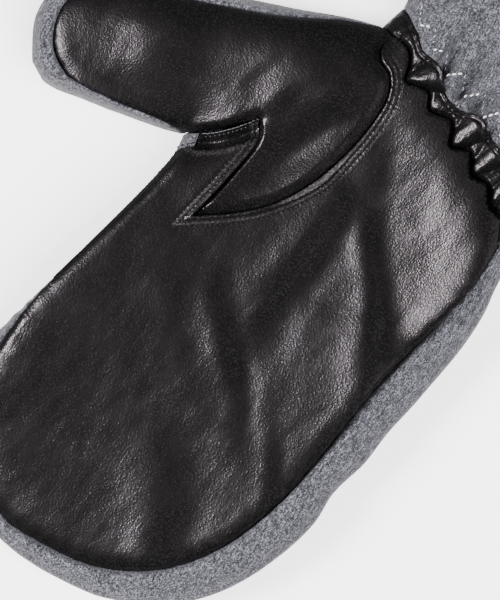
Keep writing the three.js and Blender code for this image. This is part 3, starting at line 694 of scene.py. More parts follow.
def walled(points, faces, relief, roll, wall=WALL):
    """Outer face with its relief and rolled edges, inner face, and the rim between them."""
    normals = triangle_normals(points, faces)
    loops = border_of(faces)
    near = np.full(len(points), np.inf)
    for loop in loops:
        near = np.minimum(near, Line(points[loop + loop[:1]]).distance(points))
    rolled = roll * (1 - quarter_round(near / roll))
    relief = np.minimum(relief, relief * ramp(near, *RELIEF_RISE))
    wall = np.broadcast_to(wall, near.shape)
    outer = points + normals * (relief - rolled)[:, None]
    inner = points + normals * (np.minimum(relief, 0) - wall)[:, None]
    outer[:, 2] = np.maximum(outer[:, 2], 0)
    count = len(points)
    rims = []
    for loop in loops:
        p = np.array(loop)
        q = np.roll(p, -1)
        rims.append(np.stack([q, p, p + count], axis=1))
        rims.append(np.stack([q, p + count, q + count], axis=1))
    everything = np.vstack([faces, faces[:, ::-1] + count, *rims])
    return np.vstack([outer, inner]), everything


EVEN = np.linspace(0, 1, 400)
SPREAD_FROM, SPREAD_TO = SPREAD * (2 * EVEN**2 - EVEN**3), SPREAD * EVEN


def spread(places):
    """Opens out the strip beside the side line, where the surface turns steep."""
    distance, _, _, foot = SIDE.nearest(places)
    wider = np.where(distance < SPREAD, np.interp(distance, SPREAD_FROM, SPREAD_TO), distance)
    return foot + (places - foot) * (wider / np.maximum(distance, 1e-9))[:, None]


def unspread(places):
    """Closes that strip again."""
    distance, _, _, foot = SIDE.nearest(places)
    closer = np.where(distance < SPREAD, np.interp(distance, SPREAD_TO, SPREAD_FROM), distance)
    return foot + (places - foot) * (closer / np.maximum(distance, 1e-9))[:, None]


def hexagonal(low, high, step):
    """Points of a triangular lattice over a box."""
    rows = np.arange(low[1], high[1], step * math.sqrt(3) / 2)
    columns = np.arange(low[0], high[0], step)
    x, y = np.meshgrid(columns, rows)
    x[1::2] += step / 2
    return np.stack([x.ravel(), y.ravel()], axis=1)


def inside(places, outline):
    """Whether each place lies inside the closed outline."""
    odd = np.zeros(len(places), bool)
    x, y = places.T
    for (ax, ay), (bx, by) in zip(outline, np.roll(outline, -1, axis=0)):
        if ay != by:
            odd ^= ((ay > y) != (by > y)) & (x < ax + (y - ay) * (bx - ax) / (by - ay))
    return odd


def panel_mesh(outline, fine_lines, fine_step):
    """Triangles over the plan inside an outline, finer beside the given lines."""
    outline = spread(outline)
    ring = Line(np.vstack([outline, outline[:1]]))
    parts = []
    for step, is_fine in ((fine_step, True), (COARSE_STEP, False)):
        lattice = hexagonal(outline.min(0), outline.max(0), step)
        near = np.min([line.distance(lattice) for line in fine_lines], axis=0)
        lattice = lattice[(near < FINE_REACH) == is_fine]
        if len(lattice):
            clear = ring.distance(lattice) > CLEAR_OF_EDGE * step
            parts.append(lattice[clear & inside(lattice, outline)])
    inner = np.vstack(parts)
    count = len(outline)
    edges = [(i, (i + 1) % count) for i in range(count)]
    everything = np.vstack([outline, inner])
    places, _, faces, *_ = geometry.delaunay_2d_cdt(
        [Vector(p) for p in everything.tolist()], edges, [], 0, 1e-5, False
    )
    places = np.array([tuple(p) for p in places])
    faces = np.array([list(f) for f in faces])
    faces = faces[inside(places[faces].mean(axis=1), outline)]
    used = np.unique(faces)
    renumber = np.full(len(places), -1)
    renumber[used] = np.arange(len(used))
    faces = renumber[faces]
    places = places[used]
    a, b, c = (places[faces[:, k]] for k in range(3))
    turned = (b - a)[:, 0] * (c - a)[:, 1] - (b - a)[:, 1] * (c - a)[:, 0] < 0
    faces[turned] = faces[turned][:, ::-1]
    return unspread(places), faces


def drawn_in(outline):
    """The closed outline moved inwards by the gap that the seam leaves."""
    before, after = np.roll(outline, 1, axis=0), np.roll(outline, -1, axis=0)
    along = unit(after - before)
    return outline + np.stack([-along[:, 1], along[:, 0]], axis=1) * SEAM_GAP


def grid_faces(numbers):
    """Triangles between the rows of a grid of point numbers."""
    a, b = numbers[:-1, :-1].ravel(), numbers[:-1, 1:].ravel()
    c, d = numbers[1:, 1:].ravel(), numbers[1:, :-1].ravel()
    faces = np.vstack([np.stack([a, b, c], axis=1), np.stack([a, c, d], axis=1)])
    distinct = (faces[:, 0] != faces[:, 1]) & (faces[:, 1] != faces[:, 2]) & (faces[:, 0] != faces[:, 2])
    return faces[distinct]


def weld(grids):
    """One mesh from several grids of points, with the points that they share merged."""
    points = np.vstack([grid.reshape(-1, 3) for grid in grids])
    keys = np.round(points, 3)
    _, first, number = np.unique(keys, axis=0, return_index=True, return_inverse=True)
    number = number.ravel()
    faces = []
    start = 0
    for grid in grids:
        size = grid.shape[0] * grid.shape[1]
        faces.append(grid_faces(number[start:start + size].reshape(grid.shape[:2])))
        start += size
    return points[first], np.vstack(faces)


# Materials

def new_material(name):
    """A material and its shader."""
    material = bpy.data.materials.new(name)
    material.use_nodes = True
    nodes = material.node_tree.nodes
    nodes.clear()
    output = nodes.new("ShaderNodeOutputMaterial")
    shader = nodes.new("ShaderNodeBsdfPrincipled")
    material.node_tree.links.new(shader.outputs["BSDF"], output.inputs["Surface"])
    return material, shader


class Nodes:
    """Short ways to add nodes to a material."""

    def __init__(self, material):
        self.tree = material.node_tree

    def add(self, kind, values=(), **settings):
        node = self.tree.nodes.new(kind)
        for key, value in settings.items():
            setattr(node, key, value)
        for key, value in dict(values).items():
            if isinstance(value, bpy.types.NodeSocket):
                self.tree.links.new(value, node.inputs[key])
            else:
                node.inputs[key].default_value = value
        return node

    def link(self, output, socket):
        self.tree.links.new(output, socket)

    def place(self, stretch=(1, 1, 1), turn=0):
        """Object coordinates, stretched along axes that are turned by some degrees about Z."""
        values = {"Vector": self.add("ShaderNodeTexCoord").outputs["Object"], "Scale": stretch,
                  "Rotation": (0, 0, math.radians(turn))}
        return self.add("ShaderNodeMapping", values, vector_type="TEXTURE").outputs["Vector"]

    def cells(self, vector, size, feature="F1"):
        values = {"Vector": vector, "Scale": 1 / size}
        return self.add("ShaderNodeTexVoronoi", values, feature=feature).outputs

    def noise(self, vector, scale, detail=2):
        return self.add("ShaderNodeTexNoise", {"Vector": vector, "Scale": scale, "Detail": detail}).outputs

    def math(self, operation, a, b=0.0, c=0.0):
        node = self.add("ShaderNodeMath", operation=operation)
        for socket, value in zip(node.inputs, (a, b, c)):
            if isinstance(value, bpy.types.NodeSocket):
                self.tree.links.new(value, socket)
            else:
                socket.default_value = value
        return node.outputs[0]

    def mixed(self, a, share_a, b, share_b):
        """Two values, each times its share, added up."""
        return self.math("ADD", self.math("MULTIPLY", a, share_a), self.math("MULTIPLY", b, share_b))

    def ramp(self, value, low, high, to_low=0.0, to_high=1.0):
        values = {"Value": value, "From Min": low, "From Max": high, "To Min": to_low, "To Max": to_high}
        return self.add("ShaderNodeMapRange", values, interpolation_type="SMOOTHSTEP").outputs["Result"]

    def colours(self, value, stops):
        node = self.add("ShaderNodeValToRGB", {"Fac": value})
        elements = node.color_ramp.elements
        while len(elements) < len(stops):
            elements.new(0.5)
        for element, (position, colour) in zip(elements, stops):
            element.position = position
            element.color = (*colour, 1)
        return node.outputs["Color"]

    def bump(self, height, distance, strength=1.0, normal=None):
        values = {"Height": height, "Distance": distance, "Strength": strength}
        if normal is not None:
            values["Normal"] = normal
        return self.add("ShaderNodeBump", values).outputs["Normal"]


def shades(colour, tones):
    """Stops for a colour ramp, from rows of (place along it, factor on the colour)."""
    return [(place, tuple(min(1.0, c * factor) for c in colour)) for place, factor in tones]


def leather_material():
    """Black leather with pebbles and faint creases, and a painted highlight that makes its lapped edges
    paler.
    """
    look, sizes = bpy.context.scene.mitten_look, bpy.context.scene.mitten_sizes
    material, shader = new_material("black_nappa_leather")
    nodes = Nodes(material)
    along = nodes.place(LEATHER_STRETCH, GRAIN_TURN)
    sway = nodes.noise(along, LEATHER_SCALES["sway"])["Color"]
    reach = LEATHER_SWAY * sizes.grain
    moved = nodes.add("ShaderNodeVectorMath", {0: sway, 1: (reach, reach, 0)}, operation="MULTIPLY")
    swayed = nodes.add("ShaderNodeVectorMath", {0: along, 1: moved.outputs[0]}, operation="ADD").outputs[0]
    pebble = nodes.ramp(nodes.cells(swayed, sizes.grain)["Distance"], *PEBBLE_RANGE, 1, 0)
    small = nodes.noise(along, LEATHER_SCALES["small"] / sizes.grain)["Fac"]
    patches = nodes.noise(nodes.place(), LEATHER_SCALES["patches"], detail=3)["Fac"]
    longer = nodes.place(CREASE_STRETCH, GRAIN_TURN)
    creases = nodes.cells(longer, LEATHER_SCALES["crease"] * sizes.grain, "DISTANCE_TO_EDGE")["Distance"]
    fine = nodes.bump(small, LEATHER_BUMPS["small"])
    grain = nodes.bump(pebble, LEATHER_BUMPS["pebble"], normal=fine)
    creased = nodes.bump(nodes.ramp(creases, *CREASE_RANGE), LEATHER_BUMPS["crease"], normal=grain)
    nodes.link(creased, shader.inputs["Normal"])
    tone = nodes.mixed(pebble, LEATHER_MIX["pebble"], small, LEATHER_MIX["small"])
    colour = nodes.colours(tone, shades(look.leather, LEATHER_TONES))
    # Painted highlight: the base colour is made paler on the lapped rims, the ridge between the stitch rows,
    # the welt's bead and the crest beside the crotch
    highlight_painted = nodes.add("ShaderNodeAttribute", attribute_name="highlight_painted").outputs["Fac"]
    paler = nodes.math("MULTIPLY_ADD", highlight_painted, look.painted_highlight_gain, 1.0)
    scaled = nodes.add("ShaderNodeVectorMath", {0: colour, "Scale": paler}, operation="SCALE")
    nodes.link(scaled.outputs[0], shader.inputs["Base Color"])
    patchy = nodes.ramp(patches, *LEATHER_ROUGHNESS["patches"])
    furrows = nodes.ramp(pebble, *LEATHER_ROUGHNESS["furrows"])
    nodes.link(nodes.math("ADD", patchy, furrows), shader.inputs["Roughness"])
    shader.inputs["Specular IOR Level"].default_value = 0.42
    shader.inputs["Specular Tint"].default_value = (1.0, 0.91, 0.97, 1)
    return material


def fabric_material():
    """Grey fabric of flecked yarns."""
    look, sizes = bpy.context.scene.mitten_look, bpy.context.scene.mitten_sizes
    material, shader = new_material("grey_melange_fabric")
    nodes = Nodes(material)
    cells = nodes.cells(nodes.place(FABRIC_STRETCH, GRAIN_TURN), sizes.fleck)
    flecks = nodes.add("ShaderNodeSeparateColor", {"Color": cells["Color"]}).outputs[0]
    yarns = nodes.noise(nodes.place(YARN_STRETCH, GRAIN_TURN), YARN_SCALE / sizes.fleck)["Fac"]
    tone = nodes.mixed(flecks, FABRIC_MIX["flecks"], yarns, FABRIC_MIX["yarns"])
    nodes.link(nodes.colours(tone, shades(look.fabric, FABRIC_TONES)), shader.inputs["Base Color"])
    weave = nodes.math("ADD", nodes.math("MULTIPLY", cells["Distance"], -1.0), yarns)
    nodes.link(nodes.bump(weave, FABRIC_BUMP, 0.6), shader.inputs["Normal"])
    shader.inputs["Roughness"].default_value = 0.9
    shader.inputs["Specular IOR Level"].default_value = 0.2
    shader.inputs["Sheen Weight"].default_value = 0.1
    shader.inputs["Sheen Roughness"].default_value = 0.5
    return material


def thread_material(name, colour, roughness):
    """Twisted sewing thread."""
    material, shader = new_material(name)
    nodes = Nodes(material)
    twist = nodes.noise(nodes.place(), THREAD_SCALE / bpy.context.scene.mitten_sizes.thread)["Fac"]
    nodes.link(nodes.colours(twist, shades(colour, THREAD_TONES)), shader.inputs["Base Color"])
    nodes.link(nodes.bump(twist, THREAD_BUMP, 0.5), shader.inputs["Normal"])
    shader.inputs["Roughness"].default_value = roughness
    shader.inputs["Specular IOR Level"].default_value = 0.15
    return material


MATERIALS = {}


def material_for(kind):
    """Each finish is made once."""
    look = bpy.context.scene.mitten_look
    makers = {
        "leather": leather_material,
        "fabric": fabric_material,
        "dark_thread": lambda: thread_material("black_thread", look.dark_thread, 0.9),
        "highlight_grey_thread": lambda: thread_material("highlight_grey_thread", look.highlight_grey_thread, 0.8),
        "pale_thread": lambda: thread_material("pale_thread", look.pale_thread, 0.7),
    }
    if kind not in MATERIALS:
        MATERIALS[kind] = makers[kind]()
    return MATERIALS[kind]


# Pieces

SURFACES = {}  # outer faces, for sewing on them


def soft_piece(name, points, faces, kind, highlight_painted=None):
    """A padded panel that takes the place of the frame's piece of the same name."""
    mesh = maker_mesh(name, points, faces.tolist())
    # per-point painted highlight, which pales the leather's base colour
    if highlight_painted is not None:
        mesh.attributes.new("highlight_painted", "FLOAT", "POINT").data.foreach_set("value", highlight_painted)
    mesh.validate()
    mesh.update()
    piece = put_in_scene(name, mesh, material_for(kind), PANEL_SMOOTH)
    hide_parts(name)


def keep_surface(name, points, faces):
    """Keeps the outer face of a piece for the stitches."""
    SURFACES[name] = BVHTree.FromPolygons([Vector(p) for p in points.tolist()], faces.tolist())


def sewn_panel(name, outline, height, relief, fine_lines, fine_step=FINE_STEP,
               wall=lambda places: WALL, highlight_paint=lambda places: np.zeros(len(places))):
    """A leather panel inside an outline: its relief, wall and painted highlight are functions of the places.
    """
    places, faces = panel_mesh(drawn_in(outline), fine_lines, fine_step)
    points = np.column_stack([places, height(places)])
    crisp = np.minimum(SIDE.distance(places), np.minimum(from_laps(places), GATHER.distance(places)))
    roll = mix(ROLL["crisp"], ROLL["leather"], ramp(crisp, 0, CRISP_REACH["leather"]))
    points_out, faces_out = walled(points, faces, relief(places), roll, wall(places))
    keep_surface(name, points_out[:len(points)], faces)
    # the painted highlight is kept on the outer and inner points alike
    soft_piece(name, points_out, faces_out, "leather", np.tile(highlight_paint(places), 2))


def rim_width(along):
    """Width of the rim along the ball seam."""
    return np.interp(along, *np.array(BALL_RIM, float).T)


def pushed_out(width):
    """How far a rim of that width pushes the stitch rows outwards."""
    return np.maximum(width - RIM_ROOM, 0)


def stitch_rows():
    """The rows of topstitching beside the ball seam and the welt, which meet in a point."""
    rows = []
    for offset in STITCH_ROWS:
        _, along = BALL_LONG.left_of(BALL_LONG.points)
        away = offset + pushed_out(rim_width(along))
        for line, other, distance in ((BALL_LONG, WELT_LONG, away), (WELT_LONG, BALL_LONG, offset)):
            run = offset_run(line.points, distance)
            rows.append(run[other.left_of(run)[0] <= offset])
    return rows


def beside_laps(places):
    """Distances to the left of the ball seam and of the welt, length along, rim width, distance past it."""
    ball, along = BALL_LONG.left_of(places)
    from_welt, _ = WELT_LONG.left_of(places)
    width = rim_width(along)
    return ball, from_welt, along, width, ball - pushed_out(width) * ramp(ball, 0, STITCH_ROWS[0])


def lap_relief(places):
    """The lapped edge of the palm along the ball seam and the welt, with its stitch holes."""
    ball, from_welt, along, width, past = beside_laps(places)
    rim = RIM_SLOPE * np.clip(ball, 0, width) * (1 - ramp(ball, width, width + RIM_FADE))
    bead = WELT_BEAD["height"] * bell(from_welt, WELT_BEAD["middle"], WELT_BEAD["width"])
    share = np.interp(along, *np.array(LAP_SHARE, float).T)
    on_ball = profile(np.maximum(past, 0), LAP_PROFILE) * share + rim
    on_welt = profile(np.maximum(from_welt, 0), LAP_PROFILE) + bead
    step = max(1, round(bpy.context.scene.mitten_sizes.stitch_pitch / MM / PLACES_STEP))
    holes = Line(np.vstack([even_run(row, PLACES_STEP)[::step] for row in stitch_rows()]))
    off = np.array([holes.tree.find(Line.lift(p))[2] for p in places])
    return np.where(ball >= from_welt, on_ball, on_welt) - HOLE["depth"] * bell(off, width=HOLE["width"])


def lap_painted_highlight(places):
    """Painted highlight on the palm's folded edges: the rims, the ridge between the stitch rows, the welt's
    bead and the crest beside the crotch.
    """
    ball, from_welt, along, width, past = beside_laps(places)
    wide = ramp(width, *WIDE_RIM)
    # the painted highlight on the rim fades out just past its width
    highlight_fade = 1 - ramp(ball, mix(PAINTED_HIGHLIGHT_FADE["narrow"], 1, wide) * width, width + PAINTED_HIGHLIGHT_FADE["past"])
    rim = mix(PAINTED_HIGHLIGHT["rim"], PAINTED_HIGHLIGHT["wide rim"], wide) * highlight_fade
    on_ball = np.maximum(rim, PAINTED_HIGHLIGHT["ridge"] * bell(past, *PAINTED_HIGHLIGHT_BANDS["ridge"])) * ramp(along, *PAINTED_HIGHLIGHT_FROM)
    bead = PAINTED_HIGHLIGHT["rim"] * bell(from_welt, *PAINTED_HIGHLIGHT_BANDS["bead"])
    on_welt = np.maximum(bead, PAINTED_HIGHLIGHT["ridge"] * bell(from_welt, *PAINTED_HIGHLIGHT_BANDS["ridge"]))
    crest = PAINTED_HIGHLIGHT["crest"] * bell(POCKET.distance(places), *PAINTED_HIGHLIGHT_BANDS["crest"])
    crest = crest * ramp(WELT_LINE.distance(places), *CREST_FREE)
    return np.maximum(np.where(ball >= from_welt, on_ball, on_welt), crest)


def seam_fall(places, edge, panel):
    """The drop of the leather to its seam with the fabric: little of it where the side is steep."""
    tip = np.exp(-((places - THUMB_TIP["at"]) ** 2).sum(1) / THUMB_TIP["reach"] ** 2)
    share = ramp(SIDE.distance(places), *SEAM_FALL["from_side"]) * (1 - THUMB_TIP["less"] * tip)
    return -SEAM_FALL["depth"] * (1 - np.clip(edge / SEAM_FALL[panel], 0, 1)) ** 2 * share


def free_of_edges(places, edge, panel):
    """Share of their height that the folds have: none at the panel's edge."""
    return ramp(edge, 0, FOLDS_FREE[panel]) * ramp(SIDE.distance(places), 0, FOLDS_FREE["side"])


def palm_relief(places):
    """The palm's seam laps, folds, puckers and pocket beside the crotch."""
    edge = EDGE.distance(places)
    folds = fold_relief(places, PALM_FOLDS) + uneven(places, PALM_RIPPLES)
    folds = folds * free_of_edges(places, edge, "palm")
    pocket = profile(POCKET.distance(places), POCKET_PROFILE)
    fall = seam_fall(places, edge, "palm")
    return lap_relief(places) + folds + puckers(places, EDGE, "leather") + pocket + fall


def palm_wall(places):
    return mix(LAP_WALL["thin"], WALL, ramp(from_laps(places), *LAP_WALL["reach"]))


def thumb_relief(places):
    """The thumb's folds, its tuck under the palm and its lip at the crotch."""
    edge = Line(smooth_run(THUMB_LEATHER_EDGE)).distance(places)
    folds = fold_relief(places, THUMB_FOLDS) + uneven(places, THUMB_RIPPLES)
    folds = folds * free_of_edges(places, edge, "thumb")
    ball, from_welt = BALL.distance(places), WELT_LINE.distance(places)
    tuck = TUCK["depth"] * (1 - np.minimum(ramp(ball, 0, TUCK["ball"]), ramp(from_welt, 0, TUCK["welt"])))
    lip = profile(CROTCH.distance(places), CROTCH_PROFILE) * ramp(from_laps(places), 0, LIP_FREE)
    return folds - tuck + lip + seam_fall(places, edge, "thumb")


def puff_relief(places, puff):
    """One puff, which swells from its narrow end and sinks a little past its wide end."""
    start, end = np.array(puff["from"]), np.array(puff["to"])
    reach = np.linalg.norm(end - start)
    ahead = (end - start) / reach
    along = (places - start) @ ahead / reach
    left = (places - start) @ np.array([-ahead[1], ahead[0]])
    grown = np.clip(along, 0, 1) ** PUFF["taper"]
    width = mix(puff["narrow"], puff["wide"], grown)
    aside = np.where(left > 0, left / (PUFF["left"] * width), -left / (PUFF["right"] * width))
    before = np.minimum(along, 0) * reach / width
    swell = mix(PUFF["start"], 1, grown) * (1 - PUFF["sink"] * ramp(along, *PUFF["sinks_over"]))
    return puff["height"] * swell * (1 - np.clip(aside**2 + before**2, 0, 1))


def gather_relief(places):
    """Puffs that swell from the crease at the hand to the cuff's seam, with creases between."""
    puffs = np.zeros(len(places))
    for puff in PUFFS:
        puffs = np.maximum(puffs, puff_relief(places, puff))
    puffs = puffs + uneven(places, PUFF_RIPPLES) * ramp(puffs, *PUFF_UNEVEN)
    creases = 1 - np.abs(uneven(places, CREASE_RIPPLES)) * CREASES["sharpness"]
    creases = CREASES["depth"] * np.clip(creases, 0, 1) + uneven(places, WRINKLE_RIPPLES)
    creases = creases * mix(1, CREASES_LEFT["share"], ramp(puffs, *CREASES_LEFT["heights"]))
    rim = CUFF_SEAM.distance(places)
    piping = sum(height * bell(rim, middle, width) for height, middle, width in PIPING)
    sunk = GATHER_SUNK["depth"] * (1 - ramp(GATHER.distance(places), 0, GATHER_SUNK["reach"]))
    return puffs + GATHER_GROUND - creases + piping - sunk


class MITTEN_OT_leather(bpy.types.Operator):
    """Make the leather palm, the thumb panel and the gathered strip at the wrist"""

    bl_idname = "mitten.leather"
    bl_label = "Leather Panels"

    def execute(self, context):
        index = smooth_run(HAND_SIDE, first=INDEX_SEAM_ROW, last=FLAP_ROW)
        gather, cuff = smooth_run(GATHER_EDGE), smooth_run(CUFF_EDGE)
        web = even_run([crotch_lower[-1], WEB_CORNER, index[-1]], LINE_STEP)
        seams = (BALL, WELT_LINE, CROTCH)
        palm = join(gather, ball_seam, welt, crotch_lower, web, index[::-1], leather_edge[::-1])[:-1]
        # the palm's lapped edges carry a painted highlight
        sewn_panel("palm_leather", palm, flap_z, palm_relief, seams, wall=palm_wall, highlight_paint=lap_painted_highlight)
        rim = even_run([BALL_SEAM[0], WRIST_THUMB], LINE_STEP)
        crotch = join(crotch_lower, crotch_upper)
        thumb_edge = smooth_run(THUMB_LEATHER_EDGE)
        thumb = join(rim, thumb_edge[::-1], crotch[::-1], welt[::-1], ball_seam[::-1])[:-1]
        sewn_panel("thumb_leather", thumb, thumb_z, thumb_relief, seams)
        little = smooth_run(LEATHER_EDGE, last=WRIST_ROW)
        strip = join(cuff, wrist_side[::-1], rim[::-1], gather[::-1], little[::-1])[:-1]
        seams = (Line(cuff), Line(gather))
        sewn_panel("wrist_gather_leather", strip, top_z, gather_relief, seams, GATHER_STEP)
        return {"FINISHED"}


def partners(seam, side_line):
    """For each seam point, the nearest place on the side line, never going back along it."""
    _, _, along, _ = side_line.nearest(seam)
    along = np.maximum.accumulate(along)
    return np.stack([np.interp(along, side_line.lengths, c) for c in side_line.points.T], axis=1)


def straight(start, end, count):
    """Places at even spacing from one place to another."""
    return mix(np.array(start, float), np.array(end, float), np.linspace(0, 1, count)[:, None])


def between(seam, side, fractions):
    """A grid of places from the seam to the side."""
    return mix(seam[None], side[None], np.asarray(fractions)[:, None, None])


def raised(grid, height):
    """A grid of places in plan, with their heights."""
    flat = grid.reshape(-1, 2)
    return np.column_stack([flat, height(flat)]).reshape(*grid.shape[:2], 3)


def rings_towards(loop, middle, distances):
    """A loop, the same loop drawn in by the distances, and the middle where it closes."""
    away = np.linalg.norm(loop - middle, axis=1)
    rings = [mix(loop, middle, (d / away)[:, None]) for d in distances]
    return np.stack([*rings, np.broadcast_to(middle, loop.shape)])


def coons(bottom, top, left, right):
    """A four-sided patch between runs of places: opposite runs have as many points."""
    u = np.linspace(0, 1, len(bottom))[None, :, None]
    v = np.linspace(0, 1, len(left))[:, None, None]
    corners = (1 - v) * ((1 - u) * bottom[0] + u * bottom[-1]) + v * ((1 - u) * top[0] + u * top[-1])
    return ((1 - v) * bottom[None] + v * top[None] + (1 - u) * left[:, None] + u * right[:, None]
            - corners)


def fabric_relief(points):
    """Soft unevenness of the fabric, and the faint fold that follows the outline on the band."""
    places = points[:, :2]
    fold = BAND_FOLD["height"] * bell(SIDE.distance(places), BAND_FOLD["middle"], BAND_FOLD["width"])
    fold = fold * ramp(points[:, 1], *BAND_FOLD["sets_in"])
    pucker = puckers(places, Line(smooth_run(LEATHER_EDGE)), "fabric")
    return (fold + pucker + uneven(places, FABRIC_RIPPLES)) * ramp(points[:, 2], BAND_FROM, BAND_TO)


def add_fabric(name, grids, relief):
    """A fabric panel from grids of points that share their borders."""
    points, faces = weld(grids)
    roll = mix(ROLL["crisp"], ROLL["fabric"], ramp(SIDE.distance(points), 0, CRISP_REACH["fabric"]))
    points_out, faces_out = walled(points, faces, relief(points), roll)
    keep_surface(name, points_out[:len(points)], faces)
    soft_piece(name, points_out, faces_out, "fabric")


def cuff_grid():
    """The cuff as rings of points: over the top from the little-finger side, and back underneath."""
    edge = smooth_run(CUFF_EDGE, spacing=SEAM_STEP)
    band = between(np.array([LEATHER_EDGE[0]]), np.array([CUFF_LITTLE]), ACROSS)[::-1, 0]
    loop = join(band, edge, cuff_below)
    on_top = np.arange(len(loop)) < len(band) + len(edge) - 1
    share = (loop[:, 0] - loop[0, 0]) / (CUFF_THUMB[0] - loop[0, 0])
    rings = []
    for level in np.linspace(0, 1, CUFF_RINGS)[:-1]:
        y = mix(CUFF_END_Y, loop[:, 1], level)
        low, high = cuff_side_x(-1, y), cuff_side_x(1, y)
        x = mix(low, high, share)
        inward = np.maximum(0, np.minimum(x - low, high - x))
        above = side_height(y) + rise(y) * quarter_round(inward / TOP_ROUND)
        below = side_height(y) * (1 - quarter_round(inward / UNDER_ROUND))
        rings.append(np.stack([x, y, np.where(on_top, above, below)], axis=1))
    rings.append(np.column_stack([loop, np.where(on_top, top_z(loop), under_z(loop))]))
    return np.stack(rings)


def cuff_relief(points):
    """The cuff's gathers and folds beside its seam, and its soft unevenness."""
    places = points[:, :2]
    x, y = places.T
    distance, _, along, _ = CUFF_SEAM.nearest(places)
    inward = np.minimum(x - cuff_side_x(-1, y), cuff_side_x(1, y) - x)
    turn = (along + uneven(places, CUFF_SWAY)) * 2 * math.pi
    waves = sum(height * np.sin(turn / pitch + start) for height, pitch, start in CUFF_WAVES)
    gathers = waves * np.exp(-distance / CUFF_GATHERS["reach"]) * ramp(inward, *CUFF_GATHERS["from_side"])
    soft = uneven(places, CUFF_RIPPLES) * ramp(distance, *CUFF_PLAIN)
    return (gathers + fold_relief(places, CUFF_FOLDS) + soft) * ramp(points[:, 2], *CUFF_GATHERS["heights"])


class MITTEN_OT_fabric(bpy.types.Operator):
    """Make the fabric back with its band, the thumb's back and the cuff"""

    bl_idname = "mitten.fabric"
    bl_label = "Fabric Panels"

    def execute(self, context):
        seam = smooth_run(LEATHER_EDGE, spacing=SEAM_STEP)
        side = partners(seam, Line(hand_side))
        side[0], side[-1] = CUFF_LITTLE, seam[-1]
        index = smooth_run(HAND_SIDE, first=INDEX_SEAM_ROW, last=FLAP_ROW, spacing=SEAM_STEP)
        flap = smooth_run(HAND_SIDE, first=FLAP_ROW)
        top = straight(WEB_CORNER, flap[0], len(crotch_upper))
        left = straight(crotch_upper[0], WEB_CORNER, len(flap))
        web = coons(crotch_upper, top, left, flap[::-1])
        root = straight(flap[-1], WRIST_THUMB, ROOT_STEPS)
        loop = join(side, index, flap, root, wrist_side, cuff_below)
        under = rings_towards(loop, HAND_MIDDLE, UNDER_RINGS)
        grids = [raised(between(seam, side, ACROSS), top_z), raised(web, flap_z), raised(under, under_z)]
        add_fabric("back_fabric", grids, fabric_relief)
        seam = smooth_run(THUMB_LEATHER_EDGE, spacing=SEAM_STEP)
        side = partners(seam, Line(thumb_side))
        side[0], side[-1] = seam[0], seam[-1]
        under = rings_towards(join(side, root[::-1]), THUMB_MIDDLE, UNDER_RINGS[:-2])
        grids = [raised(between(seam, side, ACROSS), top_z), raised(under, under_z)]
        add_fabric("thumb_back_fabric", grids, fabric_relief)
        add_fabric("cuff_fabric", [cuff_grid()], cuff_relief)
        return {"FINISHED"}


# Stitches

def sewn_places(run, pitch, surface, lift):
    """Middle, direction and normal of each stitch along a line, on the surface under it."""
    run = even_run(run, PLACES_STEP)
    step = max(1, round(pitch / PLACES_STEP))
    found = []
    for i in range(step // 2, len(run) - step // 2, step):
        hit, normal, _, _ = SURFACES[surface].ray_cast(Vector((*run[i], OVERHEAD)), Vector((0, 0, -1)))
        if hit is None:
            continue
        ahead = run[min(i + AHEAD, len(run) - 1)] - run[max(i - AHEAD, 0)]
        found.append((hit + normal * lift, Vector((*unit(ahead), 0)), normal))
    return found


def stitch_template(length, thickness):
    """One stitch: a short round thread whose ends dive into the leather."""
    bpy.ops.object.select_all(action="DESELECT")
    radius = thickness / 2
    bpy.ops.mesh.primitive_cylinder_add(
        vertices=THREAD_SIDES, radius=radius, depth=length, location=(0, 0, 0)
    )
    stitch = bpy.context.object
    bpy.ops.object.mode_set(mode="EDIT")
    bpy.ops.mesh.select_all(action="SELECT")
    bpy.ops.transform.rotate(value=math.pi / 2, orient_axis="Y", center_override=(0, 0, 0))
    bpy.ops.mesh.select_all(action="DESELECT")
    bpy.ops.object.mode_set(mode="OBJECT")
    for edge in stitch.data.edges:
        a, b = (stitch.data.vertices[v].co for v in edge.vertices)
        edge.select = abs(a.x - b.x) > length / 2
    bpy.ops.object.mode_set(mode="EDIT")
    bpy.ops.mesh.subdivide(number_cuts=THREAD_CUTS)
    bpy.ops.mesh.select_all(action="DESELECT")
    bpy.ops.object.mode_set(mode="OBJECT")
    for vertex in stitch.data.vertices:
        t = vertex.co.x / (length / 2)
        narrow = math.sqrt(max(THREAD_END, 1 - t**4))
        vertex.co.y *= narrow
        vertex.co.z = vertex.co.z * narrow - THREAD_DIVE * thickness * t**2
    points = np.array([tuple(v.co) for v in stitch.data.vertices]) / MM
    faces = [tuple(p.vertices) for p in stitch.data.polygons]
    mesh = stitch.data
    bpy.data.objects.remove(stitch)
    bpy.data.meshes.remove(mesh)
    return points, faces


def stamp(name, template, places, thread):
    """Copies a stitch to every place and joins the copies in one piece."""
    shape, shape_faces = template
    points, faces = [], []
    for middle, direction, normal in places:
        across = normal.cross(direction).normalized()
        ahead = across.cross(normal)
        start = len(points) * len(shape)
        points.append(shape @ np.array([ahead, across, normal]) + np.array(middle))
        faces.extend(tuple(v + start for v in face) for face in shape_faces)
    mesh = maker_mesh(name, np.vstack(points), faces)
    put_in_scene(name, mesh, material_for(thread), THREAD_SMOOTH)


def offset_run(run, distance):
    """The line beside a run, on its left for a distance above zero."""
    along = unit(np.gradient(run, axis=0))
    return run + np.stack([-along[:, 1], along[:, 0]], axis=1) * np.reshape(distance, (-1, 1))


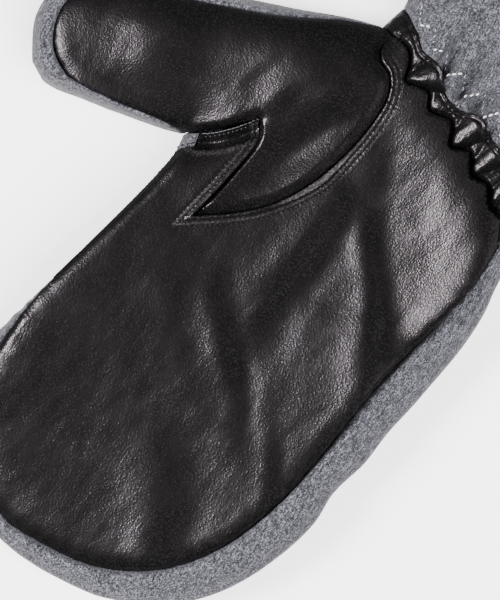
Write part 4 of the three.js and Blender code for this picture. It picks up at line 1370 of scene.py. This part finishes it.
class MITTEN_OT_stitches(bpy.types.Operator):
    """Sew the topstitching on the leather and the zigzag on the cuff"""

    bl_idname = "mitten.stitches"
    bl_label = "Stitching"

    def execute(self, context):
        sizes = context.scene.mitten_sizes
        pitch = sizes.stitch_pitch / MM
        template = stitch_template(sizes.stitch_pitch * STITCH_SHARE, sizes.thread)
        places = []
        for row in stitch_rows():
            places += sewn_places(row, pitch, "palm_leather", STITCH_SUNK)
        stamp("leather_topstitching", template, places, "dark_thread")
        # Both crotch rows are sewn in grey thread; the edge thread also serves as a painted highlight along
        # the crotch's folded edge
        rows = (
            ("crotch_stitching", CROTCH_STITCH, CROTCH_STITCH["pitch_share"] * pitch),
            ("crotch_edge_highlight_thread", CROTCH_HIGHLIGHT_THREAD, CROTCH_HIGHLIGHT_THREAD["pitch"]),
        )
        for name, stitch, apart in rows:
            run = offset_run(crotch_lower, stitch["off"])
            places = sewn_places(run, apart, "palm_leather", stitch["lift"])
            short = stitch_template(stitch["length"] * MM, stitch["thick"] * MM)
            stamp(name, short, places, "highlight_grey_thread")
        web = even_run([WEB_CORNER, HAND_SIDE[FLAP_ROW]], PLACES_STEP)
        places = sewn_places(offset_run(web, WEB_STITCH["off"]), pitch, "back_fabric", WEB_STITCH["lift"])
        stamp("web_stitching", template, places, "dark_thread")
        legs = list(zip(ZIGZAG[:-1], ZIGZAG[1:]))
        rows = (
            ("zigzag_stitching", ZIGZAG_BOLD, legs[1::2]),
            ("zigzag_return_stitching", ZIGZAG_FAINT, legs[::2]),
        )
        for name, stitch, runs in rows:
            places = []
            for run in runs:
                places += sewn_places(run, ZIGZAG_PITCH, "cuff_fabric", stitch["lift"])
            dash = stitch_template(stitch["length"] * MM, stitch["thick"] * MM)
            stamp(name, dash, places, "pale_thread")
        return {"FINISHED"}


# Stage

class MITTEN_OT_stage(bpy.types.Operator):
    """Set up the pale floor, the soft lights and the camera straight above the palm"""

    bl_idname = "mitten.stage"
    bl_label = "Stage"

    def execute(self, context):
        look = context.scene.mitten_look
        bpy.ops.object.select_all(action="DESELECT")
        bpy.ops.mesh.primitive_plane_add(size=FLOOR_SIZE, location=(0, 0, FLOOR_LEVEL))
        floor = context.object
        floor.name = "floor"
        material, shader = new_material("pale_floor")
        shader.inputs["Base Color"].default_value = (*look.floor, 1)
        shader.inputs["Roughness"].default_value = 0.9
        shader.inputs["Emission Color"].default_value = (1, 1, 1, 1)
        shader.inputs["Emission Strength"].default_value = FLOOR_GLOW
        floor.data.materials.append(material)
        floor.visible_glossy = False
        world = bpy.data.worlds.new("soft_room")
        world.use_nodes = True
        background = world.node_tree.nodes["Background"]
        background.inputs["Color"].default_value = (1, 1, 1, 1)
        background.inputs["Strength"].default_value = ROOM_LIGHT
        context.scene.world = world
        centre = Vector((*VIEW_CENTRE, LAMP_AIM))
        for name, direction, away, size, power, glossy in LAMPS:
            lamp = bpy.data.lights.new(name, "AREA")
            lamp.shape = "SQUARE"
            lamp.size = size
            lamp.energy = power
            holder = bpy.data.objects.new(name, lamp)
            context.scene.collection.objects.link(holder)
            holder.location = centre + Vector(direction).normalized() * away
            holder.rotation_euler = (centre - holder.location).to_track_quat("-Z", "Y").to_euler()
            holder.visible_glossy = glossy
        camera = bpy.data.cameras.new("camera")
        camera.sensor_fit = "VERTICAL"
        camera.sensor_height = SENSOR
        camera.lens = SENSOR * CAMERA_AWAY / VIEW_HEIGHT
        camera.clip_end = 20
        holder = bpy.data.objects.new("camera", camera)
        context.scene.collection.objects.link(holder)
        half = math.sqrt(0.5)  # the picture's right is -X -Y, and its top is +X -Y
        turn = Matrix(((-half, half, 0), (-half, -half, 0), (0, 0, 1))).to_4x4()
        holder.matrix_world = Matrix.Translation((*VIEW_CENTRE, PALM_LEVEL + CAMERA_AWAY)) @ turn
        context.scene.camera = holder
        return {"FINISHED"}


class MITTEN_PT_panel(bpy.types.Panel):
    """Lists the steps that make the mitten"""

    bl_idname = "MITTEN_PT_panel"
    bl_label = "Mitten"
    bl_space_type = "VIEW_3D"
    bl_region_type = "UI"
    bl_category = "Mitten"

    def draw(self, context):
        layout = self.layout
        for group in (context.scene.mitten_sizes, context.scene.mitten_look):
            for key in group.__annotations__:
                layout.prop(group, key)
        for step in STEPS:
            layout.operator(step.bl_idname)


STEPS = (MITTEN_OT_leather, MITTEN_OT_fabric, MITTEN_OT_stitches, MITTEN_OT_stage)
CLASSES = (MittenSizes, MittenLook, *STEPS, MITTEN_PT_panel)


def register():
    for item in CLASSES:
        bpy.utils.register_class(item)
    bpy.types.Scene.mitten_sizes = PointerProperty(type=MittenSizes)
    bpy.types.Scene.mitten_look = PointerProperty(type=MittenLook)


def unregister():
    del bpy.types.Scene.mitten_look
    del bpy.types.Scene.mitten_sizes
    for item in reversed(CLASSES):
        bpy.utils.unregister_class(item)


def main():
    register()
    bpy.ops.mitten.leather()
    bpy.ops.mitten.fabric()
    bpy.ops.mitten.stitches()
    bpy.ops.mitten.stage()


if __name__ == "__main__":
    main()
